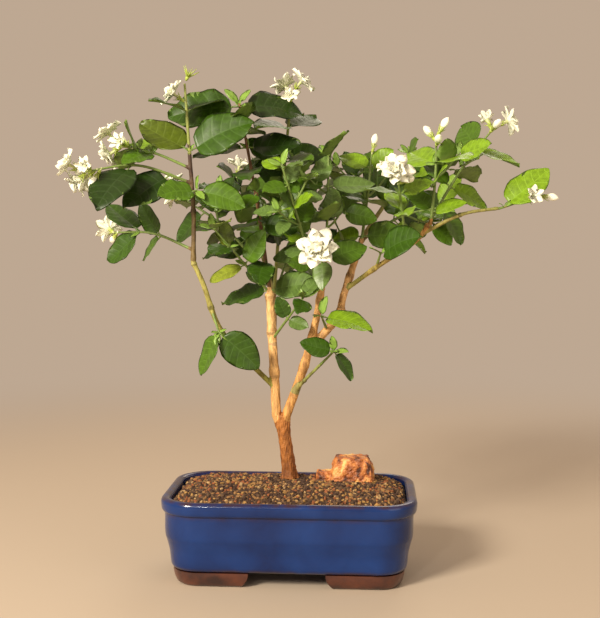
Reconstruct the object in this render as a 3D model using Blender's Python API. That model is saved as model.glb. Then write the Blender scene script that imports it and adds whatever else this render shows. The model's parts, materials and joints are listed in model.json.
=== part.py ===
"""Arabian jasmine (Jasminum sambac) trained as a bonsai in an oblong glazed pot.

The plant is an open, many-stemmed crown on one short leaning trunk. Every limb is one tapering
solid, and every foliage mass is one solid: a stem whose opposite leaves, side twigs and blossom
follow one seeded rule. Sizes are in millimetres, measured from the middle of the pot's foot.
"""
import math
import random
from dataclasses import dataclass

import bmesh
import bpy
from mathutils import Matrix, Vector
from mathutils.bvhtree import BVHTree
from mathutils.geometry import intersect_point_line

MM = 0.001
GAP = 0.3                     # clearance between one solid and the next
PLANT_SHIFT = (-17.4, -26.2)  # moves the pot's middle so that the whole plant is centred

# ---------------------------------------------------------------- pot, soil and stone
POT_LENGTH, POT_DEPTH = 198.0, 118.0
POT_CORNER = 30.0             # plan radius of the rim's corners
CORNER_STEPS = 6
FOOT_HEIGHT = 11.3
FOOT_INSET = 9.5              # foot's outer face behind the rim's edge
FOOT_FRONT, FOOT_SIDE = 60.0, 37.0
FOOT_WIDTH = 13.0
# The pot's section as (distance in from the rim's edge, height), from the underside to the inner floor.
POT_SECTION = (
    (14.0, 11.3), (10.0, 12.0), (7.8, 14.2), (7.0, 18.0), (6.2, 26.0), (4.2, 34.0), (3.0, 39.5),
    (2.8, 55.4), (1.5, 56.4), (0.4, 58.4), (0.0, 62.2), (0.2, 64.6), (1.4, 66.4), (3.6, 67.0),
    (6.0, 66.4), (7.4, 64.6), (7.8, 61.8), (8.4, 20.5), (13.0, 18.0),
)
SOIL_SECTION = (
    (13.6, 18.4), (8.8, 20.9), (8.3, 61.4), (14.0, 65.2), (24.0, 69.4), (37.0, 72.0), (48.0, 72.0),
)
SOIL_TOP = SOIL_SECTION[-1][1]
SOIL_LUMP = 15.0              # spacing of the soil's low lumps, along the pot
SOIL_HOLLOW = 1.7             # their greatest depth
STONE_BLOCK = ((48.5, 9.0), (36.0, 25.0), 19.0)      # middle, plan size, height
STONE_LOBE = ((28.0, 8.0), (20.0, 16.0), 7.5)

# ---------------------------------------------------------------- trunk and boughs
TRUNK_FOOT = (-2.0, 10.0)
TRUNK_TOP = (-8.0, 2.0, 125.0)
TRUNK_RADIUS = 5.3
TRUNK_FLARE, FLARE_HEIGHT, FLARE_LOBES = 2.0, 7.0, 5
FORK_HALF_WIDTH = 7.6


@dataclass
class Limb:
    """One tapering limb: the points it passes, and its width at its foot and at its tip."""

    parent: str
    points: tuple
    foot: float
    tip: float
    nodes: tuple = ()          # where leaf joints swell it, as shares of its length
    sides: int = 8


LIMBS = {
    "left_bough": Limb("trunk", ((-12, 2, 125), (-14, 3, 163), (-16, 6, 192), (-17, 2, 222)),
                       7.6, 6.8, (0.3, 0.66, 0.97)),
    "middle_bough": Limb("trunk", ((-4, 2, 125), (10, 0, 164), (20, -6, 202), (27, -12, 241)),
                         7.6, 4.8, (0.35, 0.55, 0.8)),
    "right_bough": Limb("middle_bough", ((18, -3, 182), (37, 1, 204), (41, 8, 220), (54, 22, 260)),
                        6.8, 5.2, (0.45, 0.8)),
    "left_stem": Limb("left_bough", ((-13, 4, 146), (-52, -14, 191), (-66, -24, 230), (-73, -28, 247)),
                      4.2, 3.8, (0.5, 0.98), 6),
    "left_stem_upper": Limb("left_stem", ((-73, -28, 247), (-72, -32, 286), (-74, -36, 329)),
                            3.8, 3.0, (0.05, 0.5), 6),
    "right_stem": Limb("right_bough", ((43, 11, 225), (67, -4, 243), (96, -18, 263), (106, -24, 276)),
                       3.8, 3.6, (0.3, 0.98), 6),
    "far_right_stem": Limb("right_stem", ((100, -20, 268), (129, -31, 283), (157, -29, 288)),
                           3.0, 2.4, (0.5, 0.98), 6),
    "low_twig": Limb("middle_bough", ((3, 1, 144), (11, -8, 154), (25, -20, 169)),
                     3.2, 2.4, (0.5,), 6),
    "rear_left_bough": Limb("left_bough", ((-15, 5, 181), (-17, 32, 215), (-30, 64, 255)),
                            4.8, 3.8, (0.5,), 6),
    "rear_right_bough": Limb("right_bough", ((45, 14, 233), (55, 54, 264), (74, 86, 294)),
                             4.6, 3.6, (0.5,), 6),
}

# ---------------------------------------------------------------- foliage masses
LEAF_WIDTH = 0.66             # of a leaf's length
LEAF_THICK = 0.9
LEAF_ARCH = 0.16              # how far the tip drops, of the length
LIGHT = Vector((-0.12, -0.62, 0.78))    # the leaves turn their faces this way
SPACE = 0.45                  # free space kept round a leaf or bloom, for other masses and limbs
TRIES = 7
ROOT = 0.35                   # a leaf's root stands this far out from the twig's middle
BLADE_START = 0.15            # the share of a leaf that its own neighbours may share
TWIG_RADII = (1.0, 0.85, 0.7)
STEM_SIDES = 3
STEM_TAPER = 0.4              # share of a stem's width lost by its tip
SHOOT_RISE = 52.0             # angle between a side twig and its stem
GOLDEN_TURN = 137.5           # turn from one side twig or flower stalk to the next
FRONT_BLOOM = Vector((-0.1, -0.95, 0.25))   # the way that an open flower at the front looks


@dataclass
class Spray:
    """One foliage mass: its stem from a limb to its tip, and what grows on it."""

    limb: str
    along: float               # where on the limb it starts: 1 is the limb's tip
    tip: tuple
    pairs: int
    leaf: tuple                # leaf length at the first pair and at the last
    reach: tuple = (0.2, 1.0)  # where on the stem the first and the last pair stand
    turn: float = 0.0          # the first pair's turn about the stem: 0 spreads it side to side
    twist: float = 90.0        # turn from one pair to the next
    rise: float = 62.0         # angle between the stem and its leaves
    droop: float = 0.1
    bow: float = 0.0           # how far the stem's middle lifts
    shoots: int = 0            # side twigs
    shoot: float = 26.0        # their length
    bloom: str = ""            # o open, O or f open to the front, h half open, b bud, c calyx, . none
    stem: float = 2.4
    seed: int = 1
    halves: int = 2            # leaves at each joint: a pair, or one where its partner has dropped


SPRAYS = {
    "spray_top_left": Spray("left_stem_upper", 1, (-77, -38, 381), 2, (50, 36), (0.08, 0.6), 0, 50, 58,
                            0.12, bloom="c...o", stem=2.8, seed=8),
    "spray_side_left_high": Spray("left_stem_upper", 0.76, (-148, -66, 314), 2, (42, 48), (0.2, 0.56),
                                  215, 20, 44, 0.1, 9, bloom="oohob", halves=1, seed=8),
    "spray_side_left_top": Spray("left_stem_upper", 0.9, (-127, -42, 335), 2, (34, 34), (0.5, 0.72), 60,
                                 60, 60, 0.0, 3, bloom="oohb", seed=1),
    "spray_side_left_low": Spray("left_stem_upper", 0.14, (-140, -6, 270), 2, (30, 38), (0.4, 0.66), 340,
                                 30, 46, 0.0, 6, bloom="ob", seed=15),
    "spray_left_round": Spray("left_stem_upper", 0.58, (-67, -46, 301), 1, (36, 34), (1, 1), 90, 90, 62,
                              0.3, seed=4),
    "spray_low_left": Spray("left_stem", 0.52, (-54, -25, 193), 1, (40, 42), (1, 1), 0, 90,
                            88, 1.1, seed=7),
    "spray_centre_left": Spray("left_bough", 1, (-26, -12, 301), 4, (44, 26), (0.1, 1.0), 0, 80,
                               80, 0.2, shoots=1, stem=3.0, seed=5),
    "spray_left_inner": Spray("left_bough", 0.96, (-57, -28, 273), 3, (30, 26), (0.45, 1.0), 0, 70,
                              60, 0.1, shoots=1, stem=2.2, seed=11),
    "spray_cross": Spray("left_bough", 0.6, (11, -28, 220), 2, (20, 24), (0.5, 1.0), 0, 90,
                         50, 0.1, seed=13),
    "spray_centre": Spray("middle_bough", 1, (29, 8, 331), 4, (36, 38), (0.2, 1.0), 10, 90,
                          66, 0.1, shoots=2, stem=2.8, seed=10),
    "spray_bush_front": Spray("middle_bough", 0.84, (-3, -48, 319), 6, (24, 24), (0.25, 1.0), 40, 90,
                              60, 0.1, shoots=3, shoot=22, stem=2.6, seed=2),
    "spray_bush_back": Spray("middle_bough", 0.92, (-19, 46, 327), 5, (30, 28), (0.25, 1.0), 0, 90,
                             62, 0.1, shoots=3, stem=2.6, seed=7),
    "spray_flower_front": Spray("middle_bough", 0.98, (25, -56, 255), 1, (24, 22), (0.6, 0.6), 0, 90,
                                60, 0.1, bloom="O", stem=2.2, seed=17),
    "spray_right_top": Spray("right_bough", 1, (63, 32, 333), 3, (36, 30), (0.2, 0.85), 0, 80,
                             66, 0.1, shoots=1, bloom="b", stem=3.0, seed=8),
    "spray_right_leaf": Spray("right_stem", 0.3, (70, -17, 254), 1, (44, 44), (1, 1), 0, 90, 40, 0.0,
                              halves=1, seed=19),
    "spray_right_bloom": Spray("right_stem", 0.62, (82, -44, 312), 2, (28, 28), (0.5, 0.75), 90, 90, 60,
                               0.1, bloom="fhb", seed=20),
    "spray_right_crown": Spray("right_stem", 1, (111, -30, 341), 3, (36, 40), (0.25, 0.7), 0, 60, 72,
                               0.05, shoots=1, bloom="bbb", stem=2.8, seed=2),
    "spray_right_outer": Spray("right_stem", 0.9, (157, -2, 351), 3, (34, 36), (0.35, 0.72), 0, 70,
                               62, 0.1, 5, bloom="ohb", seed=23),
    "spray_far_right": Spray("far_right_stem", 1, (185, -30, 298), 1, (42, 42), (0.2, 0.2), 180, 90, 34,
                             0.0, bloom="bbhb", halves=1, stem=2.2, seed=4),
    "spray_bright_low": Spray("right_bough", 0.15, (25, -24, 206), 1, (41, 41), (1, 1), 64, 90, 80, 0.0,
                              halves=1, seed=2),
    "spray_low_right": Spray("low_twig", 1, (35, -32, 180), 1, (28, 24), (1, 1), 0, 90, 70, 0.5, seed=5),
    "spray_top_centre": Spray("rear_left_bough", 0.5, (0, 4, 379), 4, (34, 42), (0.3, 0.82), 0, 80,
                              66, 0.1, 6, shoots=1, bloom="ooh", stem=3.0, seed=11),
    "spray_top_middle": Spray("rear_left_bough", 0.3, (-39, -14, 369), 4, (40, 54), (0.66, 1.0), 90, 90,
                              78, 0.15, 10, stem=3.0, seed=28),
    "spray_rear_left": Spray("rear_left_bough", 1, (-55, 94, 317), 4, (42, 34), (0.2, 0.9), 0, 90,
                             64, 0.1, shoots=2, bloom="ob", stem=3.0, seed=30),
    "spray_rear_side": Spray("rear_left_bough", 0.8, (-101, 64, 301), 4, (38, 34), (0.3, 0.9), 0, 90,
                             62, 0.1, 8, shoots=1, bloom="oh", seed=31),
    "spray_rear_low": Spray("rear_left_bough", 0.55, (-5, 86, 263), 3, (36, 32), (0.3, 1.0), 0, 90,
                            62, 0.2, shoots=1, seed=32),
    "spray_rear_right": Spray("rear_right_bough", 1, (105, 98, 323), 4, (40, 34), (0.2, 0.9), 0, 90,
                              64, 0.1, shoots=2, bloom="oh", stem=3.0, seed=33),
    "spray_rear_middle": Spray("rear_right_bough", 0.7, (33, 98, 327), 4, (38, 34), (0.3, 1.0), 0, 90,
                               64, 0.1, 6, shoots=1, seed=34),
    "spray_rear_outer": Spray("rear_right_bough", 0.5, (121, 52, 291), 3, (38, 34), (0.4, 1.0), 0, 90,
                              62, 0.1, 6, shoots=1, seed=35),
}

KINDS = "Ofohbc"
BLOOM_RADIUS = {"O": 17.0, "f": 13.5, "o": 12.5, "h": 9.5}
BLOOM_CUP = {"O": 0.12, "f": 0.2, "o": 0.3, "h": 0.85}          # how far the petals' tips stand forward
BLOOM_TUBE = 11.0
BLOOM_PETALS = 6
BUD_LENGTH, BUD_WIDTH = 17.0, 5.6
CALYX_SPIKES, CALYX_LENGTH = 8, 10.0
CYME_STEP = 3.5               # each bloom of a cluster leaves the stem this far below the last

COLOURS = {
    "glaze": ((0.012, 0.035, 0.17, 1), 0.12), "terracotta": ((0.30, 0.10, 0.055, 1), 0.8),
    "gravel": ((0.33, 0.2, 0.1, 1), 0.9), "stone": ((0.62, 0.38, 0.22, 1), 0.6),
    "trunk_bark": ((0.44, 0.23, 0.1, 1), 0.7), "bark": ((0.6, 0.42, 0.24, 1), 0.65),
    "leaf": ((0.07, 0.2, 0.03, 1), 0.35),
}


# ---------------------------------------------------------------- making objects
def clear_scene():
    for obj in list(bpy.data.objects):
        bpy.data.objects.remove(obj, do_unlink=True)


def material(name):
    """The Principled material of that name, made the first time it is asked for."""
    if name in bpy.data.materials:
        return bpy.data.materials[name]
    made = bpy.data.materials.new(name)
    made.use_nodes = True
    colour, roughness = COLOURS[name]
    shader = made.node_tree.nodes["Principled BSDF"]
    shader.inputs["Base Color"].default_value = colour
    shader.inputs["Roughness"].default_value = roughness
    shader.inputs["Metallic"].default_value = 0.0
    made.diffuse_color = colour
    return made


def new_object(name, verts, faces, material_name, smooth=True):
    """A mesh object from points in millimetres, measured from the middle of the pot's foot."""
    mesh = bpy.data.meshes.new(name)
    mesh.from_pydata([Vector(v) * MM for v in verts], [], faces)
    if smooth:
        mesh.shade_smooth()
        mesh.set_sharp_from_angle(angle=math.radians(42))
    mesh.materials.append(material(material_name))
    obj = bpy.data.objects.new(name, mesh)
    obj.location = (PLANT_SHIFT[0] * MM, PLANT_SHIFT[1] * MM, 0)
    bpy.context.collection.objects.link(obj)
    return obj


def join_rings(rings, closed_ends=True):
    """Points and quads through rings of equal count, with a flat cap at each end."""
    count = len(rings[0])
    verts = [v for ring in rings for v in ring]
    faces = []
    for k in range(len(rings) - 1):
        for i in range(count):
            j = (i + 1) % count
            faces.append((k * count + i, k * count + j, (k + 1) * count + j, (k + 1) * count + i))
    if closed_ends:
        last = (len(rings) - 1) * count
        faces.append(tuple(reversed(range(count))))
        faces.append(tuple(range(last, last + count)))
    return verts, faces


def keep_outer_body(mesh):
    """Fills any hollow that the union sealed and drops loose scraps, so that one closed body is left."""
    shape = bmesh.new()
    shape.from_mesh(mesh)
    bodies, seen = [], set()
    for seed_face in shape.faces:
        if seed_face in seen:
            continue
        body, edge_of_search = [], [seed_face]
        seen.add(seed_face)
        while edge_of_search:
            face = edge_of_search.pop()
            body.append(face)
            for near in (other for edge in face.edges for other in edge.link_faces):
                if near not in seen:
                    seen.add(near)
                    edge_of_search.append(near)
        bodies.append(body)
    bodies.sort(key=len, reverse=True)
    bmesh.ops.delete(shape, geom=[face for body in bodies[1:] for face in body], context="FACES")
    shape.to_mesh(mesh)
    shape.free()


def fuse(name, solids, material_name):
    """One solid from several overlapping ones, joined by a Boolean union on a collection."""
    base = new_object(name, *solids[0], material_name)
    helpers = bpy.data.collections.new(name + "_helpers")
    bpy.context.scene.collection.children.link(helpers)
    for index, (verts, faces) in enumerate(solids[1:]):
        helper = new_object(f"{name}_{index}", verts, faces, material_name)
        bpy.context.collection.objects.unlink(helper)
        helper.hide_render = True
        helper.display_type = "WIRE"
        helpers.objects.link(helper)
    union = base.modifiers.new("union", "BOOLEAN")
    union.operand_type = "COLLECTION"
    union.collection = helpers
    union.operation = "UNION"
    union.solver = "MANIFOLD"
    bpy.context.view_layer.update()
    evaluated = base.evaluated_get(bpy.context.evaluated_depsgraph_get())
    joined = bpy.data.meshes.new_from_object(evaluated)
    base.modifiers.remove(union)
    base.data = joined
    keep_outer_body(joined)
    for helper in list(helpers.objects):
        bpy.data.objects.remove(helper, do_unlink=True)
    bpy.data.collections.remove(helpers)
    return base


# ---------------------------------------------------------------- pot, soil and stone
def rounded_ring(inset, z):
    """The pot's plan outline, set in from the rim's edge, at one height."""
    half_x, half_y = POT_LENGTH / 2 - inset, POT_DEPTH / 2 - inset
    corner = max(POT_CORNER - inset, 8.0)
    ring = []
    for quarter, (sx, sy) in enumerate(((1, 1), (-1, 1), (-1, -1), (1, -1))):
        for step in range(CORNER_STEPS + 1):
            angle = math.radians(90 * (quarter + step / CORNER_STEPS))
            ring.append((sx * (half_x - corner) + corner * math.cos(angle),
                         sy * (half_y - corner) + corner * math.sin(angle), z))
    return ring


def build_pot():
    rings = [rounded_ring(inset, z) for inset, z in POT_SECTION]
    new_object("pot", *join_rings(rings), "glaze")


def foot_outline(inset, front, side, width, z):
    """A corner bracket's outline: along the front, round the corner and along the side, and back."""
    half_x, half_y = POT_LENGTH / 2, POT_DEPTH / 2

    def run(offset, turn_back):
        corner = max(POT_CORNER - offset, 5.0)
        arc = [math.radians(90 * step / CORNER_STEPS) for step in range(CORNER_STEPS + 1)]
        points = [(half_x - inset - front, half_y - offset)]
        points += [(half_x - offset - corner + corner * math.sin(a),
                    half_y - offset - corner + corner * math.cos(a)) for a in arc]
        points.append((half_x - offset, half_y - inset - side))
        return points[::-1] if turn_back else points

    outline = run(inset, False) + run(inset + width, True)
    return [(x, y, z) for x, y in outline]


def build_feet():
    levels = ((FOOT_INSET + 2.6, FOOT_FRONT - 7, FOOT_SIDE - 7, FOOT_WIDTH - 4, 0.0),
              (FOOT_INSET + 0.7, FOOT_FRONT - 3, FOOT_SIDE - 3, FOOT_WIDTH - 1, FOOT_HEIGHT / 3),
              (FOOT_INSET, FOOT_FRONT, FOOT_SIDE, FOOT_WIDTH, FOOT_HEIGHT - GAP))
    rings = [foot_outline(*level) for level in levels]
    for across, sx in (("right", 1), ("left", -1)):
        for deep, sy in (("rear", 1), ("front", -1)):
            turned = [[(sx * x, sy * y, z) for x, y, z in ring] for ring in rings]
            if sx * sy > 0:
                turned = [ring[::-1] for ring in turned]
            new_object(f"foot_{deep}_{across}", *join_rings(turned), "terracotta", smooth=False)


def lumpy_ring(inset, z, hollow, rng):
    """The soil's outline at one inset, with points a lump apart; where nothing stands they sink a little."""
    corners = rounded_ring(inset, z)
    steps = [round(side / SOIL_LUMP) for side in (POT_LENGTH, POT_DEPTH)]
    ring = []
    for k, (x, y, _) in enumerate(corners):
        ring.append((x, y, z))
        if (k + 1) % (CORNER_STEPS + 1) == 0:
            ahead = corners[(k + 1) % len(corners)]
            count = steps[(k // (CORNER_STEPS + 1)) % 2]
            ring += [(x + (ahead[0] - x) * i / count, y + (ahead[1] - y) * i / count, z)
                     for i in range(1, count)]
    return [(x, y, z - (0.0 if stands_on(x, y) else rng.uniform(0, hollow))) for x, y, z in ring]


def stands_on(x, y):
    """Whether the trunk or the stone stands at this place on the soil, or the pot's wall holds it."""
    (stone_x, stone_y), (stone_long, stone_deep), _ = STONE_BLOCK
    on_stone = abs(x - stone_x) < stone_long * 0.9 and abs(y - stone_y) < stone_deep * 0.9
    at_trunk = math.hypot(x - TRUNK_FOOT[0], y - TRUNK_FOOT[1]) < 2.2 * FORK_HALF_WIDTH
    at_wall = max(abs(x) / POT_LENGTH, abs(y) / POT_DEPTH) > 0.42
    return on_stone or at_trunk or at_wall


def build_soil():
    rng = random.Random(5)
    edge = SOIL_SECTION[2][1]
    rings = [lumpy_ring(inset, z, SOIL_HOLLOW if z > edge else 0.0, rng) for inset, z in SOIL_SECTION]
    new_object("soil", *join_rings(rings), "gravel", smooth=False)


def rough_block(middle, size, height, rng, steps=3):
    """A broken block with a flat underside on the soil: a box of small facets, each point moved a little."""
    rings = []
    count = 4 * steps
    for level in range(steps + 1):
        share = level / steps
        pull = 1.0 - 0.10 * share - (0.16 if level == steps else 0.0)
        ring = []
        for i in range(count):
            side, step = divmod(i, steps)
            run = -1 + 2 * step / steps
            x, y = ((run, -1), (1, run), (-run, 1), (-1, -run))[side]
            squeeze = 1 - 0.12 * (x * y) ** 2
            shift = 0.0 if level == 0 else rng.uniform(-1.0, 1.0)
            ring.append((middle[0] + x * size[0] / 2 * pull * squeeze + shift,
                         middle[1] + y * size[1] / 2 * pull * squeeze + shift * rng.uniform(-1, 1),
                         SOIL_TOP + GAP + share * height + (shift if 0 < level < steps else 0)))
        rings.append(ring)
    return join_rings(rings)


def build_stone():
    rng = random.Random(7)
    fuse("stone", [rough_block(*STONE_BLOCK, rng), rough_block(*STONE_LOBE, rng)], "stone")


# ---------------------------------------------------------------- limbs
def curve_through(points, steps):
    """A smooth curve through the points (Catmull-Rom), steps to each stretch."""
    pts = [Vector(p) for p in points]
    pts = [2 * pts[0] - pts[1]] + pts + [2 * pts[-1] - pts[-2]]
    curve = []
    for a, b, c, d in zip(pts, pts[1:], pts[2:], pts[3:]):
        for k in range(steps):
            t = k / steps
            curve.append(0.5 * ((2 * b) + (c - a) * t + (2 * a - 5 * b + 4 * c - d) * t * t
                                + (3 * b - a - 3 * c + d) * t ** 3))
    curve.append(pts[-2])
    return curve


def directions(curve):
    ahead = [(q - p).normalized() for p, q in zip(curve, curve[1:])]
    ahead.append(ahead[-1])
    return [ahead[0]] + [(a + b).normalized() for a, b in zip(ahead, ahead[1:])]


def tube_rings(curve, radii, sides):
    """Rings square to the curve, turned as little as possible from one to the next."""
    along = directions(curve)
    side = along[0].orthogonal().normalized()
    rings = []
    for point, direction, radius in zip(curve, along, radii):
        side = (side - direction * side.dot(direction)).normalized()
        across = direction.cross(side)
        angles = [2 * math.pi * i / sides for i in range(sides)]
        rings.append([point + (side * math.cos(a) + across * math.sin(a)) * radius for a in angles])
    return rings


def cut_first_ring(rings, direction, point, normal):
    """Slides the first ring's points along the limb onto the plane where it meets what carries it."""
    rings[0] = [v + direction * ((point - v).dot(normal) / direction.dot(normal)) for v in rings[0]]


def limb_radius(limb, share):
    """Half the limb's width at a share of its length: an even taper with a swelling at each node."""
    width = limb.foot + (limb.tip - limb.foot) * share
    for node in limb.nodes:
        width *= 1 + 0.22 * math.exp(-((share - node) / 0.035) ** 2)
    return width / 2


def widest_near(limb, share):
    """Half the limb's width at a share of its length, or at a node close by."""
    return max(limb_radius(limb, share + step / 50) for step in range(-5, 6))


def distance_to(curve, point):
    """From a point to the nearest stretch of a curve."""
    nearest = []
    for a, b in zip(curve, curve[1:]):
        foot, share = intersect_point_line(point, a, b)
        foot = a if share < 0 else b if share > 1 else foot
        nearest.append((point - foot).length)
    return min(nearest)


def limb_curve(limb):
    return curve_through(limb.points, 4)


def side_tube(curve, radii, sides, parent_curve, parent_radius):
    """A tube whose foot is cut flat, just clear of the limb that it grows from."""
    heading = (curve[1] - curve[0]).normalized()
    nearest = min(range(len(parent_curve)), key=lambda i: (parent_curve[i] - curve[0]).length)
    axis = directions(parent_curve)[nearest]
    normal = (heading - axis * heading.dot(axis)).normalized()
    cut = parent_curve[nearest] + normal * (parent_radius + GAP)
    clear = parent_radius + radii[0] + 2 * GAP
    first = next(i for i, p in enumerate(curve) if distance_to(parent_curve, p) > clear)
    rings = tube_rings([curve[0]] + curve[first:], [radii[0]] + radii[first:], sides)
    cut_first_ring(rings, heading, cut, normal)
    return join_rings(rings)


def build_trunk():
    """From a flat cut at soil level, flared and lobed by its roots, to the flat-topped fork."""
    steps, sides = 9, 12
    rings = []
    for k in range(steps + 1):
        share = k / steps
        z = SOIL_TOP + GAP + (TRUNK_TOP[2] - SOIL_TOP - GAP) * share
        height = z - SOIL_TOP
        lean = share ** 1.15
        flare = TRUNK_FLARE * math.exp(-height / FLARE_HEIGHT)
        widen = max(0.0, (share - 0.7) / 0.3) ** 1.5
        ring = []
        for i in range(sides):
            angle = 2 * math.pi * i / sides
            radius = TRUNK_RADIUS * (1 - 0.06 * share) + flare * (1 + 0.45 * math.cos(FLARE_LOBES * angle))
            half_x = radius + (FORK_HALF_WIDTH - radius) * widen
            ring.append((TRUNK_FOOT[0] + (TRUNK_TOP[0] - TRUNK_FOOT[0]) * lean + half_x * math.cos(angle),
                         TRUNK_FOOT[1] + (TRUNK_TOP[1] - TRUNK_FOOT[1]) * lean + radius * math.sin(angle), z))
        rings.append(ring)
    new_object("trunk", *join_rings(rings), "trunk_bark")


def limb_solid(name):
    limb = LIMBS[name]
    curve = limb_curve(limb)
    radii = [limb_radius(limb, k / (len(curve) - 1)) for k in range(len(curve))]
    if limb.parent == "trunk":
        curve[0] = Vector((curve[0].x, curve[0].y, TRUNK_TOP[2]))
        rings = tube_rings(curve, radii, limb.sides)
        heading = (curve[1] - curve[0]).normalized()
        cut_first_ring(rings, heading, Vector((0, 0, TRUNK_TOP[2] + GAP)), Vector((0, 0, 1)))
        return join_rings(rings)
    parent = LIMBS[limb.parent]
    parent_curve = limb_curve(parent)
    if (parent_curve[-1] - curve[0]).length < 1.0:
        heading = directions(parent_curve)[-1]
        curve = [curve[0] + heading * GAP, curve[0] + heading * 2.5] + curve[2:]
        return join_rings(tube_rings(curve, radii, limb.sides))
    nearest = min(range(len(parent_curve)), key=lambda i: (parent_curve[i] - curve[0]).length)
    parent_radius = widest_near(parent, nearest / (len(parent_curve) - 1))
    return side_tube(curve, radii, limb.sides, parent_curve, parent_radius)


# ---------------------------------------------------------------- leaves and blossom
def frame_of(start, direction, face):
    """A frame at start with X along direction and Z as near to face as it can be."""
    x = direction.normalized()
    z = face - x * face.dot(x)
    if z.length < 0.05:
        z = x.orthogonal()
    z.normalize()
    y = z.cross(x)
    turn = Matrix((x, y, z)).transposed().to_4x4()
    return Matrix.Translation(start) @ turn


def leaf_solid(length, grow=0.0, from_share=0.0):
    """A broad pointed blade with a keel under its midrib, arched, from its root at the origin along +X."""
    half = LEAF_WIDTH * length / 2 + grow
    keel = LEAF_THICK + grow
    stations = ((from_share, 0.7 + grow), (0.32, half), (0.68, half * 0.82))
    rings = []
    for share, wide in stations:
        x, sink = share * length, -LEAF_ARCH * length * share ** 2
        rings.append([(x, wide, sink + grow), (x, -wide, sink + grow), (x, 0, sink - keel)])
    return pointed(rings, (length + grow, 0, -LEAF_ARCH * length))


def pointed(rings, tip):
    """A closed solid through rings of equal count: a flat cap at its foot and a point at its tip."""
    verts, faces = join_rings(rings, closed_ends=False)
    count = len(rings[0])
    last = len(verts) - count
    verts.append(tip)
    faces.append(tuple(reversed(range(count))))
    faces += [(last + i, last + (i + 1) % count, len(verts) - 1) for i in range(count)]
    return verts, faces


def circle(x, reach, sides):
    """Points round the X axis."""
    return [(x, reach * math.cos(2 * math.pi * i / sides), reach * math.sin(2 * math.pi * i / sides))
            for i in range(sides)]


def petals_solid(kind, grow=0.0):
    """The star of petals round a flower's mouth, which faces along +X."""
    radius, cup = BLOOM_RADIUS[kind] + grow, BLOOM_CUP[kind]
    sides = 2 * BLOOM_PETALS
    verts = []
    for i in range(sides):
        reach = radius if i % 2 == 0 else radius / 2
        around = 2 * math.pi * i / sides
        verts.append((BLOOM_TUBE + cup * reach, reach * math.cos(around), reach * math.sin(around)))
    verts += [(BLOOM_TUBE - 1.6 - grow, 0, 0), (BLOOM_TUBE + 1.0 + grow, 0, 0)]
    faces = []
    for i in range(sides):
        j = (i + 1) % sides
        faces += [(j, i, sides), (i, j, sides + 1)]
    return verts, faces


def tube_solid(grow=0.0):
    """The slender tube behind a flower's petals."""
    return pointed([circle(-1.0, 0.8 + grow, 3), circle(BLOOM_TUBE - 1, 1.4 + grow, 3)], (BLOOM_TUBE, 0, 0))


def bud_solid(grow=0.0):
    """A bud along +X: slender at its foot, widest past the middle, and pointed."""
    rings = [circle(-1.0, 0.8 + grow, 4), circle(0.45 * BUD_LENGTH, 1.0 + grow, 4),
             circle(0.68 * BUD_LENGTH, BUD_WIDTH / 2 + grow, 4)]
    return pointed(rings, (BUD_LENGTH + grow, 0, 0))


def moved(solid, matrix):
    verts, faces = solid
    return [matrix @ Vector(v) for v in verts], faces


# ---------------------------------------------------------------- the rule that every mass grows by
class Space:
    """What is taken: each limb and mass as small trees of faces, so that a new leaf can be tried."""

    def __init__(self):
        self.taken = []

    def add(self, owner, solid):
        verts, faces = solid
        low = Vector([min(v[i] for v in verts) for i in range(3)])
        high = Vector([max(v[i] for v in verts) for i in range(3)])
        self.taken.append((owner, low, high, BVHTree.FromPolygons([tuple(v) for v in verts], faces)))

    def free(self, owner, solid):
        verts, faces = solid
        low = Vector([min(v[i] for v in verts) for i in range(3)])
        high = Vector([max(v[i] for v in verts) for i in range(3)])
        tree = None
        for other, other_low, other_high, other_tree in self.taken:
            if other == owner or any(low[i] > other_high[i] or high[i] < other_low[i] for i in range(3)):
                continue
            tree = tree or BVHTree.FromPolygons([tuple(v) for v in verts], faces)
            if tree.overlap(other_tree):
                return False
        return True


def spray_stem(name):
    """The stem's solid, the curve that its leaves stand on, and its half width along it."""
    spray = SPRAYS[name]
    limb = LIMBS[spray.limb]
    carrier = limb_curve(limb)
    tip = Vector(spray.tip)
    lift = Vector((0, 0, spray.bow))
    if spray.along >= 1:
        heading = directions(carrier)[-1]
        start = carrier[-1] + heading * GAP
        middle = start.lerp(tip, 0.5) + lift + heading * 4
        curve = curve_through((start, start + heading * 3, middle, tip), 3)
        curve = [start, start + heading * 3] + curve[4:]
    else:
        start = carrier[round(spray.along * (len(carrier) - 1))].copy()
        middle = start.lerp(tip, 0.5) + lift
        curve = curve_through((start, middle, tip), 3)
    count = len(curve) - 1
    radii = [spray.stem / 2 * (1 - STEM_TAPER * k / count) for k in range(count + 1)]
    if spray.along >= 1:
        solid = join_rings(tube_rings(curve, radii, STEM_SIDES))
    else:
        parent_radius = widest_near(limb, spray.along)
        solid = side_tube(curve, radii, STEM_SIDES, carrier, parent_radius)
    return solid, curve, radii


def heading_of(axis, turn, rise, droop):
    """The way that a leaf or twig points: turned about the stem, raised from it, and sunk a little."""
    away = Vector((0, 1, 0)) if abs(axis.y) < 0.8 else Vector((1, 0, 0))
    away = (away - axis * away.dot(axis)).normalized()
    side = away.cross(axis)
    out = side * math.cos(math.radians(turn)) + away * math.sin(math.radians(turn))
    way = axis * math.cos(math.radians(rise)) + out * math.sin(math.radians(rise))
    way.z -= droop
    return way.normalized()


def point_at(curve, share):
    """The point and the direction at a share of the curve's length."""
    place = share * (len(curve) - 1)
    index = min(int(place), len(curve) - 2)
    return curve[index].lerp(curve[index + 1], place - index), (curve[index + 1] - curve[index]).normalized()


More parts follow.
